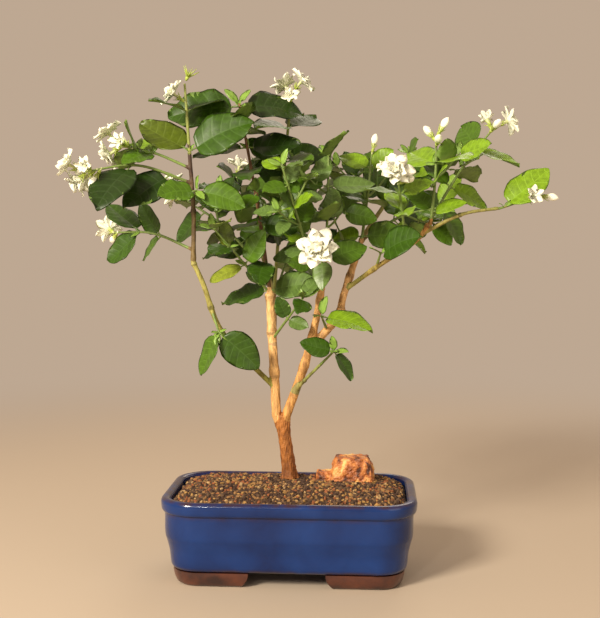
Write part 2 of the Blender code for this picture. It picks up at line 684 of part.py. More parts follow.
def try_leaf(name, space, own, rng, point, axis, turn, spray, length):
    """A leaf at the point, turned a little until it is clear of every limb and other mass, or none."""
    for attempt in range(TRIES):
        spread = 6 + 7 * attempt
        way = heading_of(axis, turn + rng.uniform(-spread, spread), spray.rise + rng.uniform(-spread, spread),
                         spray.droop + rng.uniform(-0.12, 0.12))
        face = LIGHT + Vector([rng.uniform(-0.45, 0.45) for _ in range(3)])
        frame = frame_of(point + way * ROOT, way, face)
        size = length * rng.uniform(0.9, 1.06) * (1 - 0.05 * attempt)
        blade = moved(leaf_solid(size, 0.0, BLADE_START), frame)
        if own.free(None, blade) and space.free(name, moved(leaf_solid(size, SPACE), frame)):
            own.add(name, blade)
            return size, frame
    return None


def grow_pairs(name, space, own, rng, curve, count, reach, spray, lengths, turn):
    """Opposite leaves at even joints along the curve, each pair turned from the last."""
    leaves = []
    for k in range(count):
        step = k / max(count - 1, 1)
        point, axis = point_at(curve, min(reach[0] + (reach[1] - reach[0]) * step, 0.985))
        length = lengths[0] + (lengths[1] - lengths[0]) * step
        for half in range(spray.halves):
            around = turn + spray.twist * k + 180 * half
            leaf = try_leaf(name, space, own, rng, point, axis, around, spray, length)
            if leaf:
                leaves.append(leaf)
    return leaves


def grow_blooms(name, space, own, rng, curve, kinds):
    """A cyme at the stem's tip: its flowers and buds spread evenly round it on short stalks."""
    tip, axis = curve[-1], (curve[-1] - curve[-2]).normalized()
    blooms = []
    for k, kind in enumerate(kinds):
        for attempt in range(TRIES if kind in KINDS else 0):
            spread = 0 if len(kinds) == 1 else 38 + 14 * (k % 3)
            way = heading_of(axis, GOLDEN_TURN * k + 40 * attempt, spread + rng.uniform(-8, 8), -0.15)
            if kind in "Of":
                way = FRONT_BLOOM.normalized()
            frame = frame_of(tip - axis * (CYME_STEP * k), way, LIGHT)
            head = bloom_parts(kind, frame, SPACE)
            if own.free(None, head[-1]) and all(space.free(name, part) for part in head):
                own.add(name, head[-1])
                blooms.append((kind, frame))
                break
    return blooms


def bloom_parts(kind, frame, grow=0.0):
    """The solids of one bloom in place."""
    if kind in BLOOM_RADIUS:
        return [moved(tube_solid(grow), frame), moved(petals_solid(kind, grow), frame)]
    if kind == "b":
        return [moved(bud_solid(grow), frame)]
    parts = [moved(pointed([circle(-1.0, 1.0, 4), circle(5.0, 2.0, 4)], (7.0, 0, 0)), frame)]
    for k in range(CALYX_SPIKES):
        around = Matrix.Rotation(2 * math.pi * k / CALYX_SPIKES, 4, "X")
        splay = Matrix.Rotation(math.radians(34 + 12 * (k % 2)), 4, "Z")
        root = Matrix.Translation((4.0, 0, 0))
        parts.append(moved(pointed([circle(0, 0.7 + grow, 3)], (CALYX_LENGTH, 0, 0)),
                           frame @ root @ around @ splay))
    return parts


def grow(name, space, stem_curve):
    """Everything on one stem, from its own seed: side twigs, pairs of leaves, and blossom."""
    spray = SPRAYS[name]
    rng = random.Random(spray.seed)
    own = Space()
    twigs, leaves = [], []
    for k in range(spray.shoots):
        share = 0.3 + 0.5 * (k + 0.5) / spray.shoots
        point, axis = point_at(stem_curve, share)
        for attempt in range(TRIES):
            turn = spray.turn + 45 + GOLDEN_TURN * k + 50 * attempt
            way = heading_of(axis, turn, SHOOT_RISE + rng.uniform(-8, 8), -0.15)
            end = point + way * spray.shoot * rng.uniform(0.85, 1.15)
            curve = [point, point.lerp(end, 0.5) + Vector((0, 0, -1.5)), end]
            solid = join_rings(tube_rings(curve, TWIG_RADII, 3))
            if space.free(name, solid):
                space.add(name, solid)
                twigs.append(curve)
                size = (spray.leaf[1] * 0.7, spray.leaf[1] * 0.8)
                leaves += grow_pairs(name, space, own, rng, curve, 2, (0.5, 1.0), spray, size, turn)
                break
    leaves += grow_pairs(name, space, own, rng, stem_curve, spray.pairs, spray.reach, spray, spray.leaf,
                         spray.turn)
    blooms = grow_blooms(name, space, own, rng, stem_curve, spray.bloom)
    for size, frame in leaves:
        space.add(name, moved(leaf_solid(size), frame))
    for kind, frame in blooms:
        for part in bloom_parts(kind, frame):
            space.add(name, part)
    return twigs, leaves, blooms


def build_masses(limb_solids):
    space = Space()
    for name, solid in limb_solids.items():
        space.add(name, solid)
    stems = {name: spray_stem(name) for name in SPRAYS}
    for name, (solid, _, _) in stems.items():
        space.add(name, solid)
    for name, (solid, curve, _) in stems.items():
        twigs, leaves, blooms = grow(name, space, curve)
        solids = [solid]
        solids += [join_rings(tube_rings(twig, TWIG_RADII, 3)) for twig in twigs]
        solids += [moved(leaf_solid(size), frame) for size, frame in leaves]
        for kind, frame in blooms:
            solids += bloom_parts(kind, frame)
        fuse(name, solids, "leaf")


def main():
    clear_scene()
    build_pot()
    build_feet()
    build_soil()
    build_stone()
    build_trunk()
    limb_solids = {name: limb_solid(name) for name in LIMBS}
    for name, solid in limb_solids.items():
        new_object(name, *solid, "bark")
    build_masses(limb_solids)


main()
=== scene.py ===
"""The looks of an arabian jasmine bonsai in its glazed pot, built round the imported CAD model.

The foliage follows the CAD source's rule, so every leaf, twig and blossom stands where its mass does,
and each is carried further here: ovate quilted leaves, rounded petals, calyces, buds and young shoots.
Lengths are in millimetres, measured from the middle of the pot's foot.
"""
import json
import math
import random
from dataclasses import dataclass

import bpy
import numpy as np
from mathutils import Matrix, Vector, noise
from mathutils.bvhtree import BVHTree
from mathutils.geometry import intersect_point_line
from mathutils.kdtree import KDTree

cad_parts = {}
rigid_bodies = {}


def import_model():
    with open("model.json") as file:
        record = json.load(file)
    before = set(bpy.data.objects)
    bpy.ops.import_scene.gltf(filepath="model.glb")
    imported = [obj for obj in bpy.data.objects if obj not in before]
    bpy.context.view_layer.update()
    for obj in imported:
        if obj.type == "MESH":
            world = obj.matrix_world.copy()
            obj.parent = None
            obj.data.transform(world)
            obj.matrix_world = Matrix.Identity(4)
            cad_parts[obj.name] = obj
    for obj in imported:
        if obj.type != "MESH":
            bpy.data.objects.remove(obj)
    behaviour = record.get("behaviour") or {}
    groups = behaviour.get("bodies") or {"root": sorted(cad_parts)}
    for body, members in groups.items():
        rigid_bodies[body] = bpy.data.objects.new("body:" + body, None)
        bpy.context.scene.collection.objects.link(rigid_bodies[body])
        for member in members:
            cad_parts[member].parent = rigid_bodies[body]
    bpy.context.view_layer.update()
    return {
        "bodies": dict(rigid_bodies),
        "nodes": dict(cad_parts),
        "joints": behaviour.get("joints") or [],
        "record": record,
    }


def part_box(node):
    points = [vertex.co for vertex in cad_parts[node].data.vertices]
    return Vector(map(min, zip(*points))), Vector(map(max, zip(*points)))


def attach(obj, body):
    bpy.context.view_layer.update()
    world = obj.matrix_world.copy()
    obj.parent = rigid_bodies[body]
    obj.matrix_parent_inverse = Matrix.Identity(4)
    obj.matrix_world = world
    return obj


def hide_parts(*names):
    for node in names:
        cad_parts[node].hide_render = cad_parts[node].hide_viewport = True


MM = 0.001
GAP = 0.3                     # clearance between one CAD solid and the next
FEET = ("foot_front_left", "foot_front_right", "foot_rear_left", "foot_rear_right")

# ---------------------------------------------------------------- the photograph's view
CAMERA_PLACE = (63.7, -845.4, 269.0)    # from the middle of the pot's foot
CAMERA_TURN, CAMERA_PITCH = 3.84, 4.0   # degrees to the left of +Y, and down
CAMERA_LENS = 62.68

# ---------------------------------------------------------------- pot, soil and stone
POT_LENGTH, POT_DEPTH = 198.0, 118.0
POT_CORNER = 30.0             # plan radius of the rim's corners
FOOT_HEIGHT = 11.3
FOOT_INSET = 9.5              # foot's outer face behind the rim's edge
FOOT_FRONT, FOOT_SIDE = 60.0, 37.0
FOOT_WIDTH = 13.0
# The pot's section as (distance in from the rim's edge, height), from the underside to the inner floor.
POT_SECTION = (
    (14.0, 11.3), (10.0, 12.0), (7.8, 14.2), (7.0, 18.0), (6.2, 26.0), (4.2, 34.0), (3.0, 39.5),
    (2.8, 55.4), (1.5, 56.4), (0.4, 58.4), (0.0, 62.2), (0.2, 64.6), (1.4, 66.4), (3.6, 67.0),
    (6.0, 66.4), (7.4, 64.6), (7.8, 61.8), (8.4, 20.5), (13.0, 18.0),
)
SOIL_TOP = 72.0
STONE_BLOCK = ((48.5, 9.0), (36.0, 25.0), 19.0)      # middle, plan size, height
STONE_LOBE = ((28.0, 8.0), (20.0, 16.0), 7.5)

# ---------------------------------------------------------------- trunk and boughs
TRUNK_FOOT = (-2.0, 10.0)
TRUNK_TOP = (-8.0, 2.0, 125.0)
TRUNK_RADIUS = 5.3
TRUNK_FLARE, FLARE_HEIGHT, FLARE_LOBES = 2.0, 7.0, 5
TRUNK_LEAN = 1.15             # above 1, its lean grows towards the top
TRUNK_TAPER = 0.06            # share of its width lost by the top
ROOT_LOBE = 0.45              # depth of the lobes, as a share of the flare
FORK_HALF_WIDTH = 7.6
FORK_FROM, FORK_SPAN = 0.7, 0.3         # the shares of its height where it widens to the fork
NODE_SWELL, NODE_REACH = 0.22, 0.035    # a leaf joint's swelling on a limb, and its share of the limb


@dataclass
class Limb:
    """One tapering limb: the points it passes, and its width at its foot and at its tip."""

    parent: str
    points: tuple
    foot: float
    tip: float
    nodes: tuple = ()          # where leaf joints swell it, as shares of its length
    sides: int = 8


LIMBS = {
    "left_bough": Limb("trunk", ((-12, 2, 125), (-14, 3, 163), (-16, 6, 192), (-17, 2, 222)),
                       7.6, 6.8, (0.3, 0.66, 0.97)),
    "middle_bough": Limb("trunk", ((-4, 2, 125), (10, 0, 164), (20, -6, 202), (27, -12, 241)),
                         7.6, 4.8, (0.35, 0.55, 0.8)),
    "right_bough": Limb("middle_bough", ((18, -3, 182), (37, 1, 204), (41, 8, 220), (54, 22, 260)),
                        6.8, 5.2, (0.45, 0.8)),
    "left_stem": Limb("left_bough", ((-13, 4, 146), (-52, -14, 191), (-66, -24, 230), (-73, -28, 247)),
                      4.2, 3.8, (0.5, 0.98), 6),
    "left_stem_upper": Limb("left_stem", ((-73, -28, 247), (-72, -32, 286), (-74, -36, 329)),
                            3.8, 3.0, (0.05, 0.5), 6),
    "right_stem": Limb("right_bough", ((43, 11, 225), (67, -4, 243), (96, -18, 263), (106, -24, 276)),
                       3.8, 3.6, (0.3, 0.98), 6),
    "far_right_stem": Limb("right_stem", ((100, -20, 268), (129, -31, 283), (157, -29, 288)),
                           3.0, 2.4, (0.5, 0.98), 6),
    "low_twig": Limb("middle_bough", ((3, 1, 144), (11, -8, 154), (25, -20, 169)),
                     3.2, 2.4, (0.5,), 6),
    "rear_left_bough": Limb("left_bough", ((-15, 5, 181), (-17, 32, 215), (-30, 64, 255)),
                            4.8, 3.8, (0.5,), 6),
    "rear_right_bough": Limb("right_bough", ((45, 14, 233), (55, 54, 264), (74, 86, 294)),
                             4.6, 3.6, (0.5,), 6),
}

# ---------------------------------------------------------------- foliage masses
LEAF_WIDTH = 0.66             # of a leaf's length
LEAF_THICK = 0.9
LEAF_ARCH = 0.16              # how far the tip drops, of the length
LIGHT = Vector((-0.12, -0.62, 0.78))    # the leaves turn their faces this way
SPACE = 0.45                  # free space kept round a leaf or bloom, for other masses and limbs
TRIES = 7
ROOT = 0.35                   # a leaf's root stands this far out from the twig's middle
BLADE_START = 0.15            # the share of a leaf that its own neighbours may share
TWIG_RADII = (1.0, 0.85, 0.7)
STEM_SIDES = 3
STEM_TAPER = 0.4              # share of a stem's width lost by its tip
SHOOT_RISE = 52.0             # angle between a side twig and its stem
GOLDEN_TURN = 137.5           # turn from one side twig or flower stalk to the next
LAST_JOINT = 0.985            # no leaves beyond this share of a stem
LEAF_SPREAD, MORE_SPREAD = 6, 7         # a leaf's turn and rise differ by up to this, and more at each try
DROOP_SPREAD, FACE_SPREAD = 0.12, 0.45
LEAF_VARIES, LEAF_SHRINK = (0.9, 1.06), 0.05    # how a leaf's length differs, and shrinks at each try
SHOOTS_FROM, SHOOTS_SPAN = 0.3, 0.5     # the part of a stem that its side twigs stand on
SHOOT_TURN, SHOOT_STEP = 45, 50         # the first side twig's turn past the first leaves, and at each try
SHOOT_VARIES, SHOOT_SAG = (0.85, 1.15), 1.5     # how a side twig's length differs, and its middle's sag
TWIG_LEAVES = (0.7, 0.8)      # a side twig's leaves, as shares of the stem's last
TWIG_SPREAD, TWIG_LIFT = 8, -0.15       # how a side twig's or stalk's rise differs, and its lift
CYME_SPREAD, CYME_MORE, CYME_TURN = 38, 14, 40  # the stalks' rise, what every third adds, turn at each try
STEM_RUN, STEM_EASE = 3.0, 4.0    # how far a stem on a limb's tip runs on straight, and eases out of it
FRONT_BLOOM = Vector((-0.1, -0.95, 0.25))   # the way that an open flower at the front looks


@dataclass
class Spray:
    """One foliage mass: its stem from a limb to its tip, and what grows on it."""

    limb: str
    along: float               # where on the limb it starts: 1 is the limb's tip
    tip: tuple
    pairs: int
    leaf: tuple                # leaf length at the first pair and at the last
    reach: tuple = (0.2, 1.0)  # where on the stem the first and the last pair stand
    turn: float = 0.0          # the first pair's turn about the stem: 0 spreads it side to side
    twist: float = 90.0        # turn from one pair to the next
    rise: float = 62.0         # angle between the stem and its leaves
    droop: float = 0.1
    bow: float = 0.0           # how far the stem's middle lifts
    shoots: int = 0            # side twigs
    shoot: float = 26.0        # their length
    bloom: str = ""            # o open, O or f open to the front, h half open, b bud, c calyx, . none
    stem: float = 2.4
    seed: int = 1
    halves: int = 2            # leaves at each joint: a pair, or one where its partner has dropped
    tones: str = "m"           # its leaves' tones in turn, by TONE_OF
    bark: str = "twig_green"    # its stem's material


SPRAYS = {
    "spray_top_left": Spray("left_stem_upper", 1, (-77, -38, 381), 2, (50, 36), (0.08, 0.6), 0, 50, 58,
        0.12, bloom="c...o", stem=2.8, seed=8, tones="doDd", bark="twig_pale"),
    "spray_side_left_high": Spray("left_stem_upper", 0.76, (-148, -66, 314), 2, (42, 48), (0.2, 0.56), 215,
        20, 44, 0.1, 9, bloom="oohob", halves=1, seed=8, tones="DDdd"),
    "spray_side_left_top": Spray("left_stem_upper", 0.9, (-127, -42, 335), 2, (34, 34), (0.5, 0.72), 60, 60,
        60, 0.0, 3, bloom="oohb", seed=1, tones="bmb"),
    "spray_side_left_low": Spray("left_stem_upper", 0.14, (-140, -6, 270), 2, (30, 38), (0.4, 0.66), 340,
        30, 46, 0.0, 6, bloom="ob", seed=15, tones="dmd"),
    "spray_left_round": Spray("left_stem_upper", 0.58, (-67, -46, 301), 1, (36, 34), (1, 1), 90, 90, 62,
        0.3, seed=4, tones="m"),
    "spray_low_left": Spray("left_stem", 0.52, (-54, -25, 193), 1, (40, 42), (1, 1), 0, 90, 88, 1.1, seed=7,
        tones="mdd"),
    "spray_centre_left": Spray("left_bough", 1, (-26, -12, 301), 4, (44, 26), (0.1, 1.0), 0, 80, 80, 0.2,
        shoots=1, stem=3.0, seed=5, tones="dddmgd", bark="twig_brown"),
    "spray_left_inner": Spray("left_bough", 0.96, (-57, -28, 273), 3, (30, 26), (0.45, 1.0), 0, 70, 60, 0.1,
        shoots=1, stem=2.2, seed=11, tones="mlod"),
    "spray_cross": Spray("left_bough", 0.6, (11, -28, 220), 2, (20, 24), (0.5, 1.0), 0, 90, 50, 0.1,
        seed=13, tones="gd"),
    "spray_centre": Spray("middle_bough", 1, (29, 8, 331), 4, (36, 38), (0.2, 1.0), 10, 90, 66, 0.1,
        shoots=2, stem=2.8, seed=10, tones="mgdm"),
    "spray_bush_front": Spray("middle_bough", 0.84, (-3, -48, 319), 6, (24, 24), (0.25, 1.0), 40, 90, 60,
        0.1, shoots=3, shoot=22, stem=2.6, seed=2, tones="gmbg"),
    "spray_bush_back": Spray("middle_bough", 0.92, (-19, 46, 327), 5, (30, 28), (0.25, 1.0), 0, 90, 62, 0.1,
        shoots=3, stem=2.6, seed=7, tones="mgd"),
    "spray_flower_front": Spray("middle_bough", 0.98, (25, -56, 255), 1, (24, 22), (0.6, 0.6), 0, 90, 60,
        0.1, bloom="O", stem=2.2, seed=17, tones="gd"),
    "spray_right_top": Spray("right_bough", 1, (63, 32, 333), 3, (36, 30), (0.2, 0.85), 0, 80, 66, 0.1,
        shoots=1, bloom="b", stem=3.0, seed=8, tones="bmb"),
    "spray_right_leaf": Spray("right_stem", 0.3, (70, -17, 254), 1, (44, 44), (1, 1), 0, 90, 40, 0.0,
        halves=1, seed=19, tones="d"),
    "spray_right_bloom": Spray("right_stem", 0.62, (82, -44, 312), 2, (28, 28), (0.5, 0.75), 90, 90, 60,
        0.1, bloom="fhb", seed=20, tones="bbm"),
    "spray_right_crown": Spray("right_stem", 1, (111, -30, 341), 3, (36, 40), (0.25, 0.7), 0, 60, 72, 0.05,
        shoots=1, bloom="bbb", stem=2.8, seed=2, tones="bmbb"),
    "spray_right_outer": Spray("right_stem", 0.9, (157, -2, 351), 3, (34, 36), (0.35, 0.72), 0, 70, 62, 0.1,
        5, bloom="ohb", seed=23, tones="bmb"),
    "spray_far_right": Spray("far_right_stem", 1, (185, -30, 298), 1, (42, 42), (0.2, 0.2), 180, 90, 34,
        0.0, bloom="bbhb", halves=1, stem=2.2, seed=4, tones="b"),
    "spray_bright_low": Spray("right_bough", 0.15, (25, -24, 206), 1, (41, 41), (1, 1), 64, 90, 80, 0.0,
        halves=1, seed=2, tones="b"),
    "spray_low_right": Spray("low_twig", 1, (35, -32, 180), 1, (28, 24), (1, 1), 0, 90, 70, 0.5, seed=5,
        tones="dd"),
    "spray_top_centre": Spray("rear_left_bough", 0.5, (0, 4, 379), 4, (34, 42), (0.3, 0.82), 0, 80, 66, 0.1,
        6, shoots=1, bloom="ooh", stem=3.0, seed=11, tones="mmd", bark="twig_pale"),
    "spray_top_middle": Spray("rear_left_bough", 0.3, (-39, -14, 369), 4, (40, 54), (0.66, 1.0), 90, 90, 78,
        0.15, 10, stem=3.0, seed=28, tones="Ddd", bark="twig_brown"),
    "spray_rear_left": Spray("rear_left_bough", 1, (-55, 94, 317), 4, (42, 34), (0.2, 0.9), 0, 90, 64, 0.1,
        shoots=2, bloom="ob", stem=3.0, seed=30, tones="dmD"),
    "spray_rear_side": Spray("rear_left_bough", 0.8, (-101, 64, 301), 4, (38, 34), (0.3, 0.9), 0, 90, 62,
        0.1, 8, shoots=1, bloom="oh", seed=31, tones="dmd"),
    "spray_rear_low": Spray("rear_left_bough", 0.55, (-5, 86, 263), 3, (36, 32), (0.3, 1.0), 0, 90, 62, 0.2,
        shoots=1, seed=32, tones="dmg"),
    "spray_rear_right": Spray("rear_right_bough", 1, (105, 98, 323), 4, (40, 34), (0.2, 0.9), 0, 90, 64,
        0.1, shoots=2, bloom="oh", stem=3.0, seed=33, tones="mbd"),
    "spray_rear_middle": Spray("rear_right_bough", 0.7, (33, 98, 327), 4, (38, 34), (0.3, 1.0), 0, 90, 64,
        0.1, 6, shoots=1, seed=34, tones="mdg"),
    "spray_rear_outer": Spray("rear_right_bough", 0.5, (121, 52, 291), 3, (38, 34), (0.4, 1.0), 0, 90, 62,
        0.1, 6, shoots=1, seed=35, tones="mbm"),
}

KINDS = "Ofohbc"
BLOOM_RADIUS = {"O": 17.0, "f": 13.5, "o": 12.5, "h": 9.5}
BLOOM_CUP = {"O": 0.12, "f": 0.2, "o": 0.3, "h": 0.85}          # how far the petals' tips stand forward
BLOOM_TUBE = 11.0
BLOOM_PETALS = 6
BUD_LENGTH, BUD_WIDTH = 17.0, 5.6
CALYX_SPIKES, CALYX_LENGTH = 8, 10.0
CYME_STEP = 3.5               # each bloom of a cluster leaves the stem this far below the last


# ---------------------------------------------------------------- colours
# Leaf tones: the blade, and its veins a little paler. The bright tone holds painted light:
# the glow of leaves lit through from behind, laid over their own yellow-green.
TONES = {
    "deep": (0.013, 0.034, 0.002), "dark": (0.032, 0.080, 0.003), "mid": (0.062, 0.135, 0.005),
    "grey": (0.10, 0.17, 0.035), "bright": (0.17, 0.30, 0.010), "olive": (0.072, 0.105, 0.005),
    "lime": (0.21, 0.26, 0.02),
}
TONE_OF = {"D": "deep", "d": "dark", "m": "mid", "g": "grey", "b": "bright", "o": "olive", "l": "lime"}
# Bark along each limb: the colour at its foot and at its tip.
BARK = {
    "trunk": ((0.30, 0.105, 0.022), (0.42, 0.165, 0.04)),
    "left_bough": ((0.70, 0.40, 0.14), (0.84, 0.56, 0.25)),
    "middle_bough": ((0.60, 0.31, 0.09), (0.74, 0.44, 0.17)),
    # right_bough: painted light, both its colours paler than its bark so that its shaded upper part reads as
    # lit.
    "right_bough": ((0.68, 0.40, 0.15), (0.80, 0.48, 0.21)),
    "left_stem": ((0.32, 0.32, 0.06), (0.42, 0.40, 0.12)),
    "left_stem_upper": ((0.22, 0.16, 0.06), (0.05, 0.022, 0.016)),
    "right_stem": ((0.34, 0.36, 0.09), (0.52, 0.26, 0.07)),
    "far_right_stem": ((0.36, 0.30, 0.08), (0.26, 0.28, 0.07)),
    "low_twig": ((0.34, 0.30, 0.10), (0.22, 0.28, 0.07)),
    "rear_left_bough": ((0.50, 0.33, 0.16), (0.34, 0.33, 0.10)),
    "rear_right_bough": ((0.50, 0.31, 0.14), (0.34, 0.33, 0.10)),
}


# ---------------------------------------------------------------- solids through rings of points
def join_rings(rings, closed_ends=True):
    """Points and quads through rings of equal count, with a flat cap at each end."""
    count = len(rings[0])
    verts = [v for ring in rings for v in ring]
    faces = []
    for k in range(len(rings) - 1):
        for i in range(count):
            j = (i + 1) % count
            faces.append((k * count + i, k * count + j, (k + 1) * count + j, (k + 1) * count + i))
    if closed_ends:
        last = (len(rings) - 1) * count
        faces.append(tuple(reversed(range(count))))
        faces.append(tuple(range(last, last + count)))
    return verts, faces


def turns(count):
    """Even angles, once round."""
    return [2 * math.pi * i / count for i in range(count)]


# ---------------------------------------------------------------- the stone's blocks
STONE_TAPER, STONE_SHOULDER = 0.10, 0.16    # how much the sides lean in, and more at the top
STONE_CORNER = 0.12                         # how much the corners are drawn in


def rough_block(middle, size, height, rng, steps=3):
    """Rings of a broken block with a flat underside: a box of small facets, each point moved a little."""
    rings = []
    for level in range(steps + 1):
        share = level / steps
        pull = 1.0 - STONE_TAPER * share - (STONE_SHOULDER if level == steps else 0.0)
        ring = []
        for i in range(4 * steps):
            side, step = divmod(i, steps)
            run = -1 + 2 * step / steps
            x, y = ((run, -1), (1, run), (-run, 1), (-1, -run))[side]
            squeeze = 1 - STONE_CORNER * (x * y) ** 2
            shift = 0.0 if level == 0 else rng.uniform(-1.0, 1.0)
            ring.append((middle[0] + x * size[0] / 2 * pull * squeeze + shift,
                         middle[1] + y * size[1] / 2 * pull * squeeze + shift * rng.uniform(-1, 1),
                         SOIL_TOP + GAP + share * height + (shift if 0 < level < steps else 0)))
        rings.append(ring)
    return rings


# ---------------------------------------------------------------- limbs
def curve_through(points, steps):
    """A smooth curve through the points (Catmull-Rom), steps to each stretch."""
    pts = [Vector(p) for p in points]
    pts = [2 * pts[0] - pts[1]] + pts + [2 * pts[-1] - pts[-2]]
    curve = []
    for a, b, c, d in zip(pts, pts[1:], pts[2:], pts[3:]):
        for k in range(steps):
            t = k / steps
            curve.append(0.5 * ((2 * b) + (c - a) * t + (2 * a - 5 * b + 4 * c - d) * t * t
                                + (3 * b - a - 3 * c + d) * t ** 3))
    curve.append(pts[-2])
    return curve


def directions(curve):
    ahead = [(q - p).normalized() for p, q in zip(curve, curve[1:])]
    ahead.append(ahead[-1])
    return [ahead[0]] + [(a + b).normalized() for a, b in zip(ahead, ahead[1:])]


def tube_rings(curve, radii, sides):
    """Rings square to the curve, turned as little as possible from one to the next."""
    along = directions(curve)
    side = along[0].orthogonal().normalized()
    rings = []
    for point, direction, radius in zip(curve, along, radii):
        side = (side - direction * side.dot(direction)).normalized()
        across = direction.cross(side)
        rings.append([point + (side * math.cos(a) + across * math.sin(a)) * radius for a in turns(sides)])
    return rings


def cut_first_ring(rings, direction, point, normal):
    """Slides the first ring's points along the limb onto the plane where it meets what carries it."""
    rings[0] = [v + direction * ((point - v).dot(normal) / direction.dot(normal)) for v in rings[0]]


def limb_radius(limb, share):
    """Half the limb's width at a share of its length: an even taper with a swelling at each node."""
    width = limb.foot + (limb.tip - limb.foot) * share
    for joint in limb.nodes:
        width *= 1 + NODE_SWELL * math.exp(-((share - joint) / NODE_REACH) ** 2)
    return width / 2


def widest_near(limb, share):
    """Half the limb's width at a share of its length, or at a node close by."""
    return max(limb_radius(limb, share + step / 50) for step in range(-5, 6))


def distance_to(curve, point):
    """From a point to the nearest stretch of a curve."""
    nearest = []
    for a, b in zip(curve, curve[1:]):
        foot, share = intersect_point_line(point, a, b)
        foot = a if share < 0 else b if share > 1 else foot
        nearest.append((point - foot).length)
    return min(nearest)


def limb_curve(limb):
    return curve_through(limb.points, 4)


def nearest_index(curve, point):
    return min(range(len(curve)), key=lambda i: (curve[i] - point).length)


def side_tube(curve, radii, sides, parent_curve, parent_radius):
    """A tube whose foot is cut flat, just clear of the limb that it grows from."""
    heading = (curve[1] - curve[0]).normalized()
    nearest = nearest_index(parent_curve, curve[0])
    axis = directions(parent_curve)[nearest]
    normal = (heading - axis * heading.dot(axis)).normalized()
    cut = parent_curve[nearest] + normal * (parent_radius + GAP)
    clear = parent_radius + radii[0] + 2 * GAP
    first = next(i for i, p in enumerate(curve) if distance_to(parent_curve, p) > clear)
    rings = tube_rings([curve[0]] + curve[first:], [radii[0]] + radii[first:], sides)
    cut_first_ring(rings, heading, cut, normal)
    return join_rings(rings)


def trunk_rings(steps, sides):
    """From a flat cut at soil level, flared and lobed by its roots, to the flat-topped fork."""
    rings = []
    for k in range(steps + 1):
        share = k / steps
        z = SOIL_TOP + GAP + (TRUNK_TOP[2] - SOIL_TOP - GAP) * share
        lean = share ** TRUNK_LEAN
        flare = TRUNK_FLARE * math.exp(-(z - SOIL_TOP) / FLARE_HEIGHT)
        widen = max(0.0, (share - FORK_FROM) / FORK_SPAN) ** 1.5
        ring = []
        for angle in turns(sides):
            lobe = 1 + ROOT_LOBE * math.cos(FLARE_LOBES * angle)
            radius = TRUNK_RADIUS * (1 - TRUNK_TAPER * share) + flare * lobe
            half_x = radius + (FORK_HALF_WIDTH - radius) * widen
            ring.append((TRUNK_FOOT[0] + (TRUNK_TOP[0] - TRUNK_FOOT[0]) * lean + half_x * math.cos(angle),
                         TRUNK_FOOT[1] + (TRUNK_TOP[1] - TRUNK_FOOT[1]) * lean + radius * math.sin(angle), z))
        rings.append(ring)
    return rings


def limb_solid(name):
    """A limb as the CAD has it, its foot clear of what carries it."""
    limb = LIMBS[name]
    curve = limb_curve(limb)
    radii = [limb_radius(limb, k / (len(curve) - 1)) for k in range(len(curve))]
    if limb.parent == "trunk":
        curve[0] = Vector((curve[0].x, curve[0].y, TRUNK_TOP[2]))
        rings = tube_rings(curve, radii, limb.sides)
        heading = (curve[1] - curve[0]).normalized()
        cut_first_ring(rings, heading, Vector((0, 0, TRUNK_TOP[2] + GAP)), Vector((0, 0, 1)))
        return join_rings(rings)
    parent = LIMBS[limb.parent]
    parent_curve = limb_curve(parent)
    if (parent_curve[-1] - curve[0]).length < 1.0:
        heading = directions(parent_curve)[-1]
        curve = [curve[0] + heading * GAP, curve[0] + heading * 2.5] + curve[2:]
        return join_rings(tube_rings(curve, radii, limb.sides))
    nearest = nearest_index(parent_curve, curve[0])
    width = widest_near(parent, nearest / (len(parent_curve) - 1))
    return side_tube(curve, radii, limb.sides, parent_curve, width)


# ---------------------------------------------------------------- leaves and blossom
def frame_of(start, direction, face):
    """A frame at start with X along direction and Z as near to face as it can be."""
    x = direction.normalized()
    z = face - x * face.dot(x)
    if z.length < 0.05:
        z = x.orthogonal()
    z.normalize()
    y = z.cross(x)
    turn = Matrix((x, y, z)).transposed().to_4x4()
    return Matrix.Translation(start) @ turn


def leaf_solid(length, grow=0.0, from_share=0.0):
    """A broad pointed blade with a keel under its midrib, arched, from its root at the origin along +X."""
    half = LEAF_WIDTH * length / 2 + grow
    keel = LEAF_THICK + grow
    stations = ((from_share, 0.7 + grow), (0.32, half), (0.68, half * 0.82))
    rings = []
    for share, wide in stations:
        x, sink = share * length, -LEAF_ARCH * length * share ** 2
        rings.append([(x, wide, sink + grow), (x, -wide, sink + grow), (x, 0, sink - keel)])
    return pointed(rings, (length + grow, 0, -LEAF_ARCH * length))


def pointed(rings, tip):
    """A closed solid through rings of equal count: a flat cap at its foot and a point at its tip."""
    verts, faces = join_rings(rings, closed_ends=False)
    count = len(rings[0])
    last = len(verts) - count
    verts.append(tip)
    faces.append(tuple(reversed(range(count))))
    faces += [(last + i, last + (i + 1) % count, len(verts) - 1) for i in range(count)]
    return verts, faces


def circle(x, reach, sides):
    """Points round the X axis."""
    return [(x, reach * math.cos(a), reach * math.sin(a)) for a in turns(sides)]


def petals_solid(kind, grow=0.0):
    """The star of petals round a flower's mouth, which faces along +X."""
    radius, cup = BLOOM_RADIUS[kind] + grow, BLOOM_CUP[kind]
    sides = 2 * BLOOM_PETALS
    verts = []
    for i, around in enumerate(turns(sides)):
        reach = radius if i % 2 == 0 else radius / 2
        verts.append((BLOOM_TUBE + cup * reach, reach * math.cos(around), reach * math.sin(around)))
    verts += [(BLOOM_TUBE - 1.6 - grow, 0, 0), (BLOOM_TUBE + 1.0 + grow, 0, 0)]
    faces = []
    for i in range(sides):
        j = (i + 1) % sides
        faces += [(j, i, sides), (i, j, sides + 1)]
    return verts, faces


def tube_solid(grow=0.0):
    """The slender tube behind a flower's petals."""
    return pointed([circle(-1.0, 0.8 + grow, 3), circle(BLOOM_TUBE - 1, 1.4 + grow, 3)], (BLOOM_TUBE, 0, 0))


